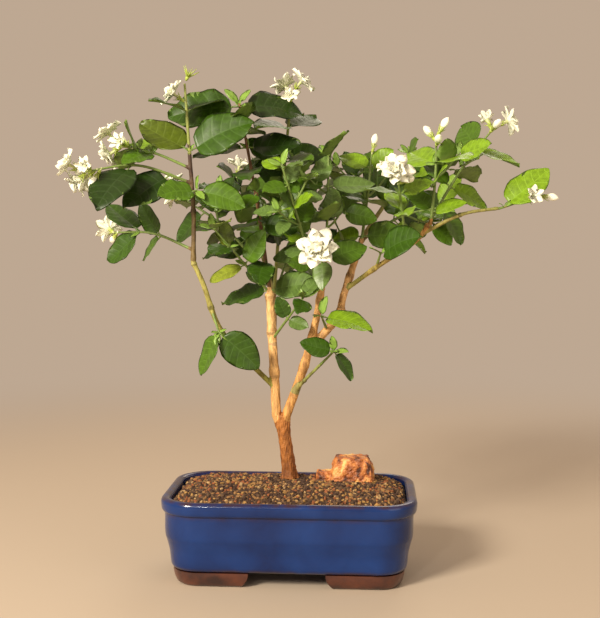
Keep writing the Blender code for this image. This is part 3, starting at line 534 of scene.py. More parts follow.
def bud_solid(grow=0.0):
    """A bud along +X: slender at its foot, widest past the middle, and pointed."""
    rings = [circle(-1.0, 0.8 + grow, 4), circle(0.45 * BUD_LENGTH, 1.0 + grow, 4),
             circle(0.68 * BUD_LENGTH, BUD_WIDTH / 2 + grow, 4)]
    return pointed(rings, (BUD_LENGTH + grow, 0, 0))


def moved(solid, matrix):
    verts, faces = solid
    return [matrix @ Vector(v) for v in verts], faces


# ---------------------------------------------------------------- the rule that every mass grows by
def box_of(solid):
    """The lowest and the highest corner of the box round a solid."""
    return [Vector([pick(v[i] for v in solid[0]) for i in range(3)]) for pick in (min, max)]


def tree_of(solid):
    return BVHTree.FromPolygons([tuple(v) for v in solid[0]], solid[1])


class Space:
    """What is taken: each limb and mass as small trees of faces, so that a new leaf can be tried."""

    def __init__(self):
        self.taken = []

    def add(self, owner, solid):
        self.taken.append((owner, *box_of(solid), tree_of(solid)))

    def free(self, owner, solid):
        low, high = box_of(solid)
        tree = None
        for other, other_low, other_high, other_tree in self.taken:
            if other == owner or any(low[i] > other_high[i] or high[i] < other_low[i] for i in range(3)):
                continue
            tree = tree or tree_of(solid)
            if tree.overlap(other_tree):
                return False
        return True


def spray_points(spray):
    """The curve of the limb that carries the spray, and the points that its stem passes."""
    carrier = limb_curve(LIMBS[spray.limb])
    tip, lift = Vector(spray.tip), Vector((0, 0, spray.bow))
    if spray.along >= 1:
        heading = directions(carrier)[-1]
        start = carrier[-1] + heading * GAP
        middle = start.lerp(tip, 0.5) + lift + heading * STEM_EASE
        return carrier, (start, start + heading * STEM_RUN, middle, tip)
    start = carrier[round(spray.along * (len(carrier) - 1))].copy()
    return carrier, (start, start.lerp(tip, 0.5) + lift, tip)


def spray_stem(spray):
    """The stem's solid, and the curve that its leaves stand on."""
    carrier, points = spray_points(spray)
    curve = curve_through(points, 3)
    if spray.along >= 1:
        curve = [*points[:2], *curve[4:]]
    count = len(curve) - 1
    radii = [spray.stem / 2 * (1 - STEM_TAPER * k / count) for k in range(count + 1)]
    if spray.along >= 1:
        return join_rings(tube_rings(curve, radii, STEM_SIDES)), curve
    width = widest_near(LIMBS[spray.limb], spray.along)
    return side_tube(curve, radii, STEM_SIDES, carrier, width), curve


def heading_of(axis, turn, rise, droop):
    """The way that a leaf or twig points: turned about the stem, raised from it, and sunk a little."""
    away = Vector((0, 1, 0)) if abs(axis.y) < 0.8 else Vector((1, 0, 0))
    away = (away - axis * away.dot(axis)).normalized()
    side = away.cross(axis)
    out = side * math.cos(math.radians(turn)) + away * math.sin(math.radians(turn))
    way = axis * math.cos(math.radians(rise)) + out * math.sin(math.radians(rise))
    way.z -= droop
    return way.normalized()


def point_at(curve, share):
    """The point and the direction at a share of the curve's length."""
    place = share * (len(curve) - 1)
    index = min(int(place), len(curve) - 2)
    return curve[index].lerp(curve[index + 1], place - index), (curve[index + 1] - curve[index]).normalized()


def bloom_parts(kind, frame, grow=0.0):
    """The solids of one bloom in place."""
    if kind in BLOOM_RADIUS:
        return [moved(tube_solid(grow), frame), moved(petals_solid(kind, grow), frame)]
    if kind == "b":
        return [moved(bud_solid(grow), frame)]
    parts = [moved(pointed([circle(-1.0, 1.0, 4), circle(5.0, 2.0, 4)], (7.0, 0, 0)), frame)]
    for k in range(CALYX_SPIKES):
        around = Matrix.Rotation(2 * math.pi * k / CALYX_SPIKES, 4, "X")
        splay = Matrix.Rotation(math.radians(34 + 12 * (k % 2)), 4, "Z")
        root = Matrix.Translation((4.0, 0, 0))
        parts.append(moved(pointed([circle(0, 0.7 + grow, 3)], (CALYX_LENGTH, 0, 0)),
                           frame @ root @ around @ splay))
    return parts


class Growth:
    """One mass, grown from its own seed and kept clear of every limb and other mass."""

    def __init__(self, name, space):
        self.name, self.space, self.spray = name, space, SPRAYS[name]
        self.draw = random.Random(self.spray.seed).uniform
        self.own = Space()
        self.twigs, self.leaves, self.blooms = [], [], []

    def try_leaf(self, point, axis, turn, length):
        """Adds a leaf at the point, turned a little more at each try until it is clear."""
        draw, spray = self.draw, self.spray
        for attempt in range(TRIES):
            spread = LEAF_SPREAD + MORE_SPREAD * attempt
            way = heading_of(axis, turn + draw(-spread, spread), spray.rise + draw(-spread, spread),
                             spray.droop + draw(-DROOP_SPREAD, DROOP_SPREAD))
            face = LIGHT + Vector([draw(-FACE_SPREAD, FACE_SPREAD) for _ in range(3)])
            frame = frame_of(point + way * ROOT, way, face)
            size = length * draw(*LEAF_VARIES) * (1 - LEAF_SHRINK * attempt)
            blade = moved(leaf_solid(size, 0.0, BLADE_START), frame)
            if not self.own.free(None, blade):
                continue
            if self.space.free(self.name, moved(leaf_solid(size, SPACE), frame)):
                self.own.add(self.name, blade)
                self.leaves.append((size, frame))
                return

    def grow_pairs(self, curve, count, reach, lengths, turn):
        """Opposite leaves at even joints along the curve, each pair turned from the last."""
        for k in range(count):
            step = k / max(count - 1, 1)
            point, axis = point_at(curve, min(reach[0] + (reach[1] - reach[0]) * step, LAST_JOINT))
            length = lengths[0] + (lengths[1] - lengths[0]) * step
            for half in range(self.spray.halves):
                self.try_leaf(point, axis, turn + self.spray.twist * k + 180 * half, length)

    def grow_twigs(self, stem):
        """Side twigs round the stem, each with two pairs of smaller leaves."""
        spray = self.spray
        for k in range(spray.shoots):
            point, axis = point_at(stem, SHOOTS_FROM + SHOOTS_SPAN * (k + 0.5) / spray.shoots)
            for attempt in range(TRIES):
                turn = spray.turn + SHOOT_TURN + GOLDEN_TURN * k + SHOOT_STEP * attempt
                way = heading_of(axis, turn, SHOOT_RISE + self.draw(-TWIG_SPREAD, TWIG_SPREAD), TWIG_LIFT)
                end = point + way * spray.shoot * self.draw(*SHOOT_VARIES)
                curve = [point, point.lerp(end, 0.5) + Vector((0, 0, -SHOOT_SAG)), end]
                solid = join_rings(tube_rings(curve, TWIG_RADII, 3))
                if self.space.free(self.name, solid):
                    self.space.add(self.name, solid)
                    self.twigs.append(curve)
                    lengths = [spray.leaf[1] * share for share in TWIG_LEAVES]
                    self.grow_pairs(curve, 2, (0.5, 1.0), lengths, turn)
                    break

    def grow_blooms(self, stem):
        """A cyme at the stem's tip: its flowers and buds spread evenly round it on short stalks."""
        tip, axis = stem[-1], (stem[-1] - stem[-2]).normalized()
        kinds = self.spray.bloom
        for k, kind in enumerate(kinds):
            for attempt in range(TRIES if kind in KINDS else 0):
                spread = 0 if len(kinds) == 1 else CYME_SPREAD + CYME_MORE * (k % 3)
                way = heading_of(axis, GOLDEN_TURN * k + CYME_TURN * attempt,
                                 spread + self.draw(-TWIG_SPREAD, TWIG_SPREAD), TWIG_LIFT)
                if kind in "Of":
                    way = FRONT_BLOOM.normalized()
                frame = frame_of(tip - axis * (CYME_STEP * k), way, LIGHT)
                head = bloom_parts(kind, frame, SPACE)
                if self.own.free(None, head[-1]) and all(self.space.free(self.name, part) for part in head):
                    self.own.add(self.name, head[-1])
                    self.blooms.append((kind, frame))
                    break

    def grow(self, stem):
        """Everything on one stem: side twigs, pairs of leaves, and blossom."""
        spray = self.spray
        self.grow_twigs(stem)
        self.grow_pairs(stem, spray.pairs, spray.reach, spray.leaf, spray.turn)
        self.grow_blooms(stem)
        for size, frame in self.leaves:
            self.space.add(self.name, moved(leaf_solid(size), frame))
        for kind, frame in self.blooms:
            for part in bloom_parts(kind, frame):
                self.space.add(self.name, part)
        return self


# ---------------------------------------------------------------- gathering meshes
class Pile:
    """Points and faces gathered for one piece, each face with its material's name."""

    def __init__(self):
        self.verts, self.faces, self.names, self.count = [], [], [], 0

    def add(self, verts, faces, names, frame=None):
        """names: one material for all the faces, or a list of one each. frame: the points' own axes."""
        points = np.array([tuple(v) for v in verts], float)
        if frame is not None:
            matrix = np.array(frame)
            points = points @ matrix[:3, :3].T + matrix[:3, 3]
        self.verts.append(points)
        self.faces += [tuple(i + self.count for i in face) for face in faces]
        self.names += [names] * len(faces) if isinstance(names, str) else names
        self.count += len(points)

    def add_rings(self, rings, name, frame=None):
        self.add(*join_rings(rings), name, frame)

    def add_tube(self, points, radii, sides, name, frame=None):
        self.add_rings(tube_rings([Vector(p) for p in points], radii, sides), name, frame)

    def mesh(self, name):
        made = bpy.data.meshes.new(name)
        made.from_pydata(np.concatenate(self.verts) * MM, [], self.faces)
        return made

    def piece(self, name, slot, smooth=True, replaces=()):
        mesh = self.mesh(name)
        index = {material_name: i for i, material_name in enumerate(sorted(set(self.names)))}
        for material_name in index:
            mesh.materials.append(MATERIALS[material_name])
        mesh.polygons.foreach_set("material_index", [index[n] for n in self.names])
        mesh.polygons.foreach_set("use_smooth", [smooth] * len(self.faces))
        mesh.update()
        return place(name, mesh, slot, replaces)

    def skin(self, name, voxel, smoothing=0):
        """The gathered solids grown together into one skin of even faces."""
        lump = linked(name, self.mesh(name))
        remesh = lump.modifiers.new("skin", "REMESH")
        remesh.mode, remesh.voxel_size = "VOXEL", voxel * MM
        if smoothing:
            smooth = lump.modifiers.new("smooth", "SMOOTH")
            smooth.factor, smooth.iterations = 0.5, smoothing
        bpy.context.view_layer.update()
        made = bpy.data.meshes.new_from_object(lump.evaluated_get(bpy.context.evaluated_depsgraph_get()))
        bpy.data.objects.remove(lump, do_unlink=True)
        return made


def linked(name, data):
    """A new object in the scene."""
    obj = bpy.data.objects.new(name, data)
    bpy.context.scene.collection.objects.link(obj)
    return obj


def place(name, mesh, slot, replaces=()):
    """Puts a piece in the row frame: its mesh is measured from the middle of the pot's foot."""
    obj = linked(name, mesh)
    obj.location = POT_PLACE
    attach(obj, "root")
    if replaces:
        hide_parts(*replaces)
    return obj


def dress(mesh, material_name, smooth):
    """One material, and smooth or flat faces, for the whole of a mesh."""
    mesh.materials.clear()
    mesh.materials.append(MATERIALS[material_name])
    mesh.polygons.foreach_set("use_smooth", [smooth] * len(mesh.polygons))
    mesh.polygons.foreach_set("material_index", [0] * len(mesh.polygons))


def paint(mesh, attribute, colours):
    """A colour at each point, for the materials to read."""
    values = np.ones((len(mesh.vertices), 4), np.float32)
    values[:, :3] = colours
    mesh.attributes.new(attribute, "FLOAT_COLOR", "POINT").data.foreach_set("color", values.ravel())


# ---------------------------------------------------------------- materials
MATERIALS = {}
COLOUR_A, COLOUR_B, COLOUR_OUT = 6, 7, 2    # the colour sockets of the Mix node


def shader_of(material):
    return material.node_tree.nodes["Principled BSDF"]


def new_material(name, colour, roughness, **sockets):
    """A Principled material; sockets are further values set on the shader."""
    made = bpy.data.materials.new(name)
    made.use_nodes = True
    shader = shader_of(made)
    shader.inputs["Base Color"].default_value = (*colour, 1)
    shader.inputs["Roughness"].default_value = roughness
    for socket, value in sockets.items():
        shader.inputs[socket.replace("_", " ").title().replace("Ior", "IOR")].default_value = value
    MATERIALS[name] = made
    return made


def node(material, kind, **inputs):
    made = material.node_tree.nodes.new(kind)
    for socket, value in inputs.items():
        made.inputs[socket.replace("_", " ")].default_value = value
    return made


def link(material, source, output, target, socket):
    material.node_tree.links.new(source.outputs[output], target.inputs[socket])


def grain(material, scale, detail=4.0, distortion=0.0, stretch=(1, 1, 1)):
    """A noise pattern over the object, scale in lumps for each metre."""
    coordinates = node(material, "ShaderNodeTexCoord")
    mapping = node(material, "ShaderNodeMapping", Scale=stretch)
    made = node(material, "ShaderNodeTexNoise", Scale=scale, Detail=detail, Distortion=distortion)
    link(material, coordinates, "Object", mapping, "Vector")
    link(material, mapping, "Vector", made, "Vector")
    return made


def ramp(material, source, stops, output="Fac"):
    """A colour ramp over a pattern: stops are (place, colour)."""
    made = node(material, "ShaderNodeValToRGB")
    link(material, source, output, made, "Fac")
    elements = made.color_ramp.elements
    while len(elements) < len(stops):
        elements.new(0.5)
    for element, (place_at, colour) in zip(elements, stops):
        element.position = place_at
        element.color = (*colour, 1)
    return made


def colour_from(material, source, output="Color"):
    link(material, source, output, shader_of(material), "Base Color")


def bump(material, source, strength, distance, output="Fac"):
    shader = shader_of(material)
    made = node(material, "ShaderNodeBump", Strength=strength, Distance=distance)
    link(material, source, output, made, "Height")
    if shader.inputs["Normal"].is_linked:
        link(material, shader.inputs["Normal"].links[0].from_node, "Normal", made, "Normal")
    link(material, made, "Normal", shader, "Normal")


def shade(colour, factor):
    return tuple(min(c * factor, 1.0) for c in colour)


def mottled(name, colour, roughness, scale, spread, **sockets):
    """A material whose colour wavers between a darker and a paler shade of its own."""
    made = new_material(name, colour, roughness, **sockets)
    pattern = grain(made, scale, 5.0)
    stops = ((0.32, shade(colour, 1 - spread)), (0.68, shade(colour, 1 + spread)))
    colour_from(made, ramp(made, pattern, stops))
    bump(made, pattern, 0.25, 0.0004)
    return made


# The plant's smaller parts: colour, roughness, lumps for each metre, and how far the colour wavers.
PLANT_PARTS = {
    "leaf_under": ((0.15, 0.25, 0.04), 0.55, 300, 0.15), "leaf_young": ((0.20, 0.34, 0.05), 0.38, 300, 0.15),
    "petal": ((0.95, 0.96, 0.80), 0.5, 500, 0.03), "petal_heart": ((0.70, 0.74, 0.42), 0.55, 500, 0.06),
    "flower_tube": ((0.58, 0.62, 0.30), 0.5, 400, 0.08), "calyx": ((0.40, 0.50, 0.08), 0.5, 400, 0.15),
    "twig_green": ((0.17, 0.25, 0.055), 0.5, 350, 0.2), "twig_brown": ((0.16, 0.075, 0.03), 0.6, 350, 0.25),
    "twig_pale": ((0.26, 0.30, 0.07), 0.5, 350, 0.2),
}


def plant_materials():
    for name, colour in TONES.items():
        mottled(f"leaf_{name}", colour, 0.42, 260, 0.22, specular_ior_level=0.35, coat_weight=0.12,
                coat_roughness=0.25)
        mottled(f"vein_{name}", tuple(c * 1.2 + 0.004 for c in colour), 0.45, 400, 0.12)
    for name, look in PLANT_PARTS.items():
        mottled(name, *look)


def bark_material():
    """Bark whose colour comes from each limb's own, broken by streaks and specks."""
    made = new_material("bark", (0.5, 0.3, 0.15), 0.62)
    tint = node(made, "ShaderNodeAttribute")
    tint.attribute_name = "tint"
    streaks = grain(made, 330, 6.0, 0.6, stretch=(1, 1, 0.28))
    specks = grain(made, 1500, 2.0)
    dark = ramp(made, streaks, ((0.36, (0.50, 0.42, 0.36)), (0.60, (1.12, 1.08, 1.02))))
    flecks = ramp(made, specks, ((0.60, (1, 1, 1)), (0.72, (0.62, 0.55, 0.48))))
    first, second = node(made, "ShaderNodeMix"), node(made, "ShaderNodeMix")
    for mix in (first, second):
        mix.data_type, mix.blend_type = "RGBA", "MULTIPLY"
        mix.inputs["Factor"].default_value = 0.85
    link(made, tint, "Color", first, COLOUR_A)
    link(made, dark, "Color", first, COLOUR_B)
    link(made, first, COLOUR_OUT, second, COLOUR_A)
    link(made, flecks, "Color", second, COLOUR_B)
    colour_from(made, second, COLOUR_OUT)
    bump(made, streaks, 0.5, 0.0008)
    bump(made, specks, 0.3, 0.0003)


def pot_materials():
    """Blue glaze that pools darker and thins to brown at its edges, and the feet's bare clay."""
    glaze = new_material("glaze", (0.006, 0.026, 0.12), 0.2, specular_ior_level=0.3, coat_weight=0.3,
                         coat_roughness=0.03)
    pools = grain(glaze, 22, 4.0, 0.4)
    deep = ramp(glaze, pools, ((0.30, (0.001, 0.009, 0.060)), (0.52, (0.003, 0.024, 0.125)),
                               (0.75, (0.006, 0.038, 0.18))))
    brown = grain(glaze, 90, 5.0)
    rim = node(glaze, "ShaderNodeAttribute")
    rim.attribute_name = "thin"
    edge = node(glaze, "ShaderNodeMath")
    edge.operation = "MULTIPLY"
    link(glaze, rim, "Fac", edge, 0)
    spots = ramp(glaze, brown, ((0.34, (0.05, 0.05, 0.05)), (0.62, (1, 1, 1))))
    link(glaze, spots, "Color", edge, 1)
    mix = node(glaze, "ShaderNodeMix")
    mix.data_type = "RGBA"
    mix.inputs[COLOUR_B].default_value = (0.045, 0.018, 0.020, 1)
    link(glaze, edge, "Value", mix, "Factor")
    link(glaze, deep, "Color", mix, COLOUR_A)
    colour_from(glaze, mix, COLOUR_OUT)
    bump(glaze, pools, 0.12, 0.003)

    clay = new_material("terracotta", (0.10, 0.03, 0.02), 0.34, coat_weight=0.3, coat_roughness=0.2)
    sand = grain(clay, 900, 5.0)
    stain = grain(clay, 70, 4.0)
    colour_from(clay, ramp(clay, stain, ((0.32, (0.030, 0.011, 0.010)), (0.72, (0.13, 0.036, 0.018)))))
    bump(clay, sand, 0.4, 0.0005)


# The gravel's six kinds of grit: its colour, and its share of the grains.
GRAVEL = {
    "grit_tan": ((0.27, 0.14, 0.05), 4), "grit_yellow": ((0.36, 0.20, 0.06), 3),
    "grit_brown": ((0.05, 0.022, 0.012), 8), "grit_orange": ((0.26, 0.085, 0.028), 3),
    "grit_umber": ((0.11, 0.06, 0.03), 6), "grit_cream": ((0.42, 0.27, 0.12), 1),
}


def ground_materials():
    """The gravel's grits, the earth under them, and the rock's banded crystals."""
    for name, (colour, _) in GRAVEL.items():
        made = mottled(name, colour, 0.85, 500, 0.25)
        bump(made, grain(made, 1800, 4.0), 0.5, 0.0004)
    earth = new_material("earth", (0.10, 0.055, 0.028), 0.95)
    lumps = grain(earth, 420, 6.0)
    colour_from(earth, ramp(earth, lumps, ((0.35, (0.025, 0.014, 0.009)), (0.65, (0.11, 0.06, 0.03)))))
    bump(earth, lumps, 0.8, 0.0015)

    rock = new_material("rock", (0.62, 0.38, 0.22), 0.55, specular_ior_level=0.6)
    patches = grain(rock, 85, 5.0, 0.9)
    crystals = node(rock, "ShaderNodeTexVoronoi", Scale=330.0)
    coordinates = node(rock, "ShaderNodeTexCoord")
    link(rock, coordinates, "Object", crystals, "Vector")
    stops = ((0.36, (0.07, 0.020, 0.008)), (0.44, (0.34, 0.095, 0.022)), (0.54, (0.58, 0.21, 0.05)),
             (0.66, (0.84, 0.56, 0.20)))
    colour_from(rock, ramp(rock, patches, stops))
    bump(rock, crystals, 0.6, 0.0012, "Distance")


# ---------------------------------------------------------------- blades: leaves, petals and lobes
class Blade:
    """The faces of a thin closed blade: a fine upper side and a coarser underside, sharing their edge."""

    def __init__(self, stations, top, under, veins=()):
        """stations: shares of the length; veins: which of them start one. top, under: places across."""
        self.s, self.top, self.under = np.array(stations), np.array(top), np.array(under)
        width = len(top) + len(under)
        rows, count = len(stations), len(top)
        low = [0] + [count + i for i in range(len(under))] + [count - 1]
        self.faces, self.kinds = [], []
        for r in range(rows - 1):
            here, ahead = r * width, (r + 1) * width
            for c in range(count - 1):
                self.faces.append((here + c, ahead + c, ahead + c + 1, here + c + 1))
                rib = max(abs(top[c]), abs(top[c + 1])) < 0.05
                self.kinds.append("vein" if rib or (r in veins) else "top")
            for a, b in zip(low, low[1:]):
                self.faces.append((here + a, here + b, ahead + b, ahead + a))
                self.kinds.append("under")
        base, tip = rows * width, rows * width + 1
        last = (rows - 1) * width
        for a, b in zip(range(count - 1), range(1, count)):
            self.faces += [(a, b, base), (last + a, tip, last + b)]
            self.kinds += ["top", "top"]
        for a, b in zip(low, low[1:]):
            self.faces += [(b, a, base), (last + b, tip, last + a)]
            self.kinds += ["under", "under"]

    def points(self, outline, lift, sweep, height, thick):
        """outline(s): half width. lift: how far rows lean forward. height(row, s, across): the upper side."""
        rows = []
        for s_row in self.s:
            for across, depth in ((self.top, 0), (self.under, thick * (1 - self.under ** 2))):
                s = s_row + lift * s_row * (1 - s_row) * np.abs(across) ** 1.2
                side = across * outline(s) + sweep(s)
                rows.append(np.stack([s, side, height(s_row, s, across) - depth], 1))
        ends = [np.array([[s, sweep(s), height(s, s, np.array(0.0)) - thick / 2]], float) for s in (0.0, 1.0)]
        return np.concatenate(rows + ends)


VEINS = 6
VEIN_SPACES = VEINS + 0.6                # the leaf's length in spaces between veins
VEIN_STEPS = (-0.07, 0.07, 0.5)          # rows beside and between the veins, as shares of their spacing
LEAF_ROWS = sorted({0.02, 0.06, 0.985} | {round((v + step) / VEIN_SPACES, 4)
                                           for v in range(1, VEINS + 1) for step in VEIN_STEPS})
LEAF_TOP = (-1, -0.84, -0.58, -0.3, -0.035, 0.035, 0.3, 0.58, 0.84, 1)
VEIN_ROWS = [LEAF_ROWS.index(round((v + VEIN_STEPS[0]) / VEIN_SPACES, 4)) for v in range(1, VEINS + 1)]
LEAF_BLADE = Blade(LEAF_ROWS, LEAF_TOP, (-0.5, 0, 0.5), VEIN_ROWS)
SMALL_BLADE = Blade((0.02, 0.15, 0.35, 0.55, 0.75, 0.9, 0.98), (-1, -0.5, -0.04, 0.04, 0.5, 1), (0,))
PETAL_BLADE = Blade((0.02, 0.2, 0.42, 0.62, 0.8, 0.92, 0.985), (-1, -0.55, 0, 0.55, 1), (0,))
PETIOLE = 0.10                            # share of the leaf's length


def leaf_profile(s):
    """The half width of an ovate leaf with a rounded base and a drawn-out tip, 1 at its widest."""
    s = np.clip(s, 0.0, 1.0)
    return s ** 0.48 * (1 - s) ** 0.72 / 0.4515


def leaf_points(blade, length, rng, young=False):
    """One leaf's points: arched, a little folded on its midrib, quilted between its veins and wavy-edged."""
    stalk = PETIOLE * length
    span = length - stalk
    half = LEAF_WIDTH * length / 2 * rng.uniform(0.94, 1.06) * (0.8 if young else 1.0)
    arch = LEAF_ARCH * rng.uniform(0.7, 1.5)
    fold = rng.uniform(0.03, 0.16)
    wave, phase, ripples = rng.uniform(0.008, 0.03), rng.uniform(0, 6.3), rng.uniform(1.5, 3.2)
    bend, curl = rng.uniform(-0.06, 0.06), rng.uniform(-0.16, 0.16)
    quilt = 0.0 if blade is not LEAF_BLADE else 0.014 * length

    def height(row, s, t):
        along = PETIOLE + (1 - PETIOLE) * s
        across = np.abs(t)
        between = np.sin(np.pi * ((row * VEIN_SPACES) % 1.0)) ** 0.8
        relief = quilt * between * np.minimum(across * 4, 1) * (1 - across ** 4)
        groove = -0.012 * length * np.exp(-(across / 0.05) ** 2)
        edge = wave * length * np.sin(phase + ripples * 6.28 * s + 1.3 * np.sign(t)) * across ** 2
        return (-arch * length * along ** 2 + fold * half * across ** 1.3 + relief + groove + edge
                + curl * t * half * s)

    def sweep(s):
        return bend * length * np.sin(np.pi * s)

    points = blade.points(lambda s: half * leaf_profile(s), 0.75, sweep, height, 0.012 * length)
    points[:, 0] = stalk + span * points[:, 0]
    return points, -arch * length * PETIOLE ** 2


def add_leaf(pile, blade, length, frame, tone, rng, young=False):
    """A leaf and its stalk."""
    points, root_z = leaf_points(blade, length, rng, young)
    names = {"top": f"leaf_{tone}", "vein": f"vein_{tone}", "under": "leaf_under"}
    if young:
        names = {"top": "leaf_young", "vein": "leaf_young", "under": "leaf_under"}
    pile.add(points, blade.faces, [names[k] for k in blade.kinds], frame)
    stalk = PETIOLE * length
    curve = ((-0.6, 0, 0), (stalk * 0.6, 0, -0.1), (stalk * 1.15, 0, root_z - 0.4))
    width = 0.5 if young else 0.75
    radii = (width * 1.2, width * 0.85, width * 0.7)
    pile.add_tube([frame @ Vector(p) for p in curve], radii, 6, "twig_green")


def petal_profile(s):
    """Half width of a petal: narrow at its foot, broad and blunt beyond its middle."""
    s = np.clip(s, 0.0, 1.0)
    swell = 0.25 + 0.75 * np.sin(np.pi * np.clip(s * 0.92, 0, 1) ** 1.25)
    return swell * np.sqrt(np.clip(1 - s ** 7, 0, 1))


def add_petal(pile, length, width, frame, rng):
    cup, curl, twist = rng.uniform(0.10, 0.30), rng.uniform(-0.15, 0.25), rng.uniform(-0.35, 0.35)

    def height(_, s, t):
        return (cup * width * (t ** 2) - curl * length * s ** 2.5 + twist * t * width * s
                + 0.04 * length * np.sin(5 * s) * np.abs(t))

    points = PETAL_BLADE.points(lambda s: width / 2 * petal_profile(s), 0.3, lambda s: 0 * s, height,
                                0.03 * length)
    points[:, 0] *= length
    pile.add(points, PETAL_BLADE.faces, "petal", frame)


def slid(x):
    return Matrix.Translation((x, 0, 0))


def turned(axis, angle):
    return Matrix.Rotation(angle, 4, axis)


def add_calyx(pile, frame, rng, start, length, splay, lobes):
    """A small green cup with slender pointed lobes, on the flower's own axis."""
    pile.add_tube([(start + step, 0, 0) for step in (-1.6, 0, 1.6)], (0.7, 1.25, 1.5), 8, "calyx", frame)
    for k in range(lobes):
        way = math.radians(splay + rng.uniform(-9, 9))
        lobe = frame @ slid(start + 0.8) @ turned("X", 2 * math.pi * k / lobes) @ turned("Z", way)
        long = length * rng.uniform(0.8, 1.1)
        end = (long, rng.uniform(-0.8, 0.8), rng.uniform(-0.5, 0.9))
        pile.add_tube(((0.6, 0, 0), (long * 0.5, 0, 0.3), end), (0.62, 0.45, 0.1), 5, "calyx", lobe)


# The bud's outline: share of its length, and share of its width.
BUD_OUTLINE = ((-0.06, 0.3), (0.2, 0.3), (0.42, 0.42), (0.52, 0.66), (0.62, 0.9), (0.72, 1.0), (0.82, 0.9),
               (0.91, 0.62), (0.97, 0.34), (1.0, 0.08))
BUD_SIDES = 14
BUD_TUBE = 3                             # rows of faces that are tube, not petals
# Where a calyx starts on the bloom, its lobes' length and splay, and their number.
BLOOM_CALYX = {"c": (4.0, CALYX_LENGTH, 36, 10), "b": (2.6, 7.0, 24, 7)}
OPEN_CALYX = (2.6, 6.5, 30, 7)


def add_bud(pile, frame):
    """A closed bud: a slender tube, then the furled petals in a low spiral, to a blunt point."""
    rings = []
    for share, part in BUD_OUTLINE:
        ring = []
        for angle in turns(BUD_SIDES):
            reach = BUD_WIDTH / 2 * part * (1 + 0.10 * math.cos(3 * angle + 5 * share) * part)
            ring.append(Vector((share * BUD_LENGTH, reach * math.cos(angle), reach * math.sin(angle))))
        rings.append(ring)
    verts, faces = join_rings(rings)
    names = ["flower_tube" if i < BUD_TUBE * BUD_SIDES else "petal" for i in range(len(faces))]
    pile.add(verts, faces, names, frame)


PETAL_WIDTH = {"O": 0.64, "f": 0.64, "o": 0.6, "h": 0.52}     # of the bloom's radius


def add_flower(pile, green, kind, frame, rng):
    """One bloom: its calyx, and a bud or a slender tube with one or more whorls of petals at its mouth."""
    add_calyx(green, frame, rng, *BLOOM_CALYX.get(kind, OPEN_CALYX))
    if kind == "b":
        add_bud(pile, frame)
    if kind not in BLOOM_RADIUS:
        return
    radius, cup = BLOOM_RADIUS[kind], BLOOM_CUP[kind]
    tube = [(x, 0, 0) for x in (-1, 3, 7, BLOOM_TUBE - 0.6, BLOOM_TUBE + 0.6)]
    pile.add_tube(tube, (0.8, 0.85, 0.95, 1.25, 1.9), 10, "flower_tube", frame)
    whorls = [(BLOOM_PETALS + (kind != "h"), 1.0, cup, 0.0)]
    if kind in "Of":
        whorls += [(BLOOM_PETALS, 0.74, cup + 0.45, 1.0), (4, 0.45, cup + 1.0, 1.6)]
    elif kind == "o":
        whorls.append((BLOOM_PETALS - 1, 0.62, cup + 0.6, 1.0))
    for count, share, lean, step in whorls:
        width = radius * PETAL_WIDTH[kind] * (0.6 + 0.4 * share)
        for k in range(count):
            around = 2 * math.pi * (k + 0.5 * (step > 0)) / count + rng.uniform(-0.12, 0.12)
            tilt = math.atan(lean) + rng.uniform(-0.12, 0.16)
            petal = (frame @ slid(BLOOM_TUBE - 0.4 + step) @ turned("X", around)
                     @ turned("Z", math.pi / 2 - tilt) @ turned("X", math.pi / 2))
            add_petal(pile, radius * share * rng.uniform(0.92, 1.04), width, petal, rng)
    for k in range(2):
        stamen = ((BLOOM_TUBE - 1, 0, 0), (BLOOM_TUBE + 2, 0.5 - k, 0.4))
        pile.add_tube(stamen, (0.6, 0.35), 6, "petal_heart", frame)


# ---------------------------------------------------------------- building the foliage
AXIL_SHOOTS = 0.3                        # share of the leaves with a small shoot in their axil
REAR = [name for name in SPRAYS if name.startswith("spray_rear") or name == "spray_bush_back"]


def spray_curve(spray):
    """The stem's smooth curve: the same points as the rule's, in finer steps."""
    carrier, points = spray_points(spray)
    if spray.along >= 1:
        return [points[0] - directions(carrier)[-1] * 1.5] + curve_through(points, 9)
    return curve_through(points, 12)


def young_shoot(pile, space, name, point, axis, rng, length):
    """A pair of small new leaves at a twig's end or in a leaf's axil, where there is room."""
    turn = rng.uniform(0, 360)
    for half in range(2):
        way = heading_of(axis, turn + 180 * half, rng.uniform(22, 55), -0.1)
        frame = frame_of(point, way, LIGHT)
        size = length * rng.uniform(0.8, 1.1)
        if space.free(name, moved(leaf_solid(size), frame)):
            add_leaf(pile, SMALL_BLADE, size, frame, "mid", rng, young=True)


def end_shoot(pile, space, name, curve, rng, length):
    young_shoot(pile, space, name, curve[-1], (curve[-1] - curve[-2]).normalized(), rng, length)


def stem_radii(spray, count):
    """Half widths along the stem, with a small swelling at each leaf joint."""
    joints = [spray.reach[0] + (spray.reach[1] - spray.reach[0]) * k / max(spray.pairs - 1, 1)
              for k in range(spray.pairs)]
    radii = []
    for k in range(count):
        share = k / (count - 1)
        swell = sum(math.exp(-((share - joint) / 0.025) ** 2) for joint in joints)
        radii.append(spray.stem / 2 * (1 - STEM_TAPER * share) * (1 + NODE_SWELL * min(swell, 1)))
    return radii


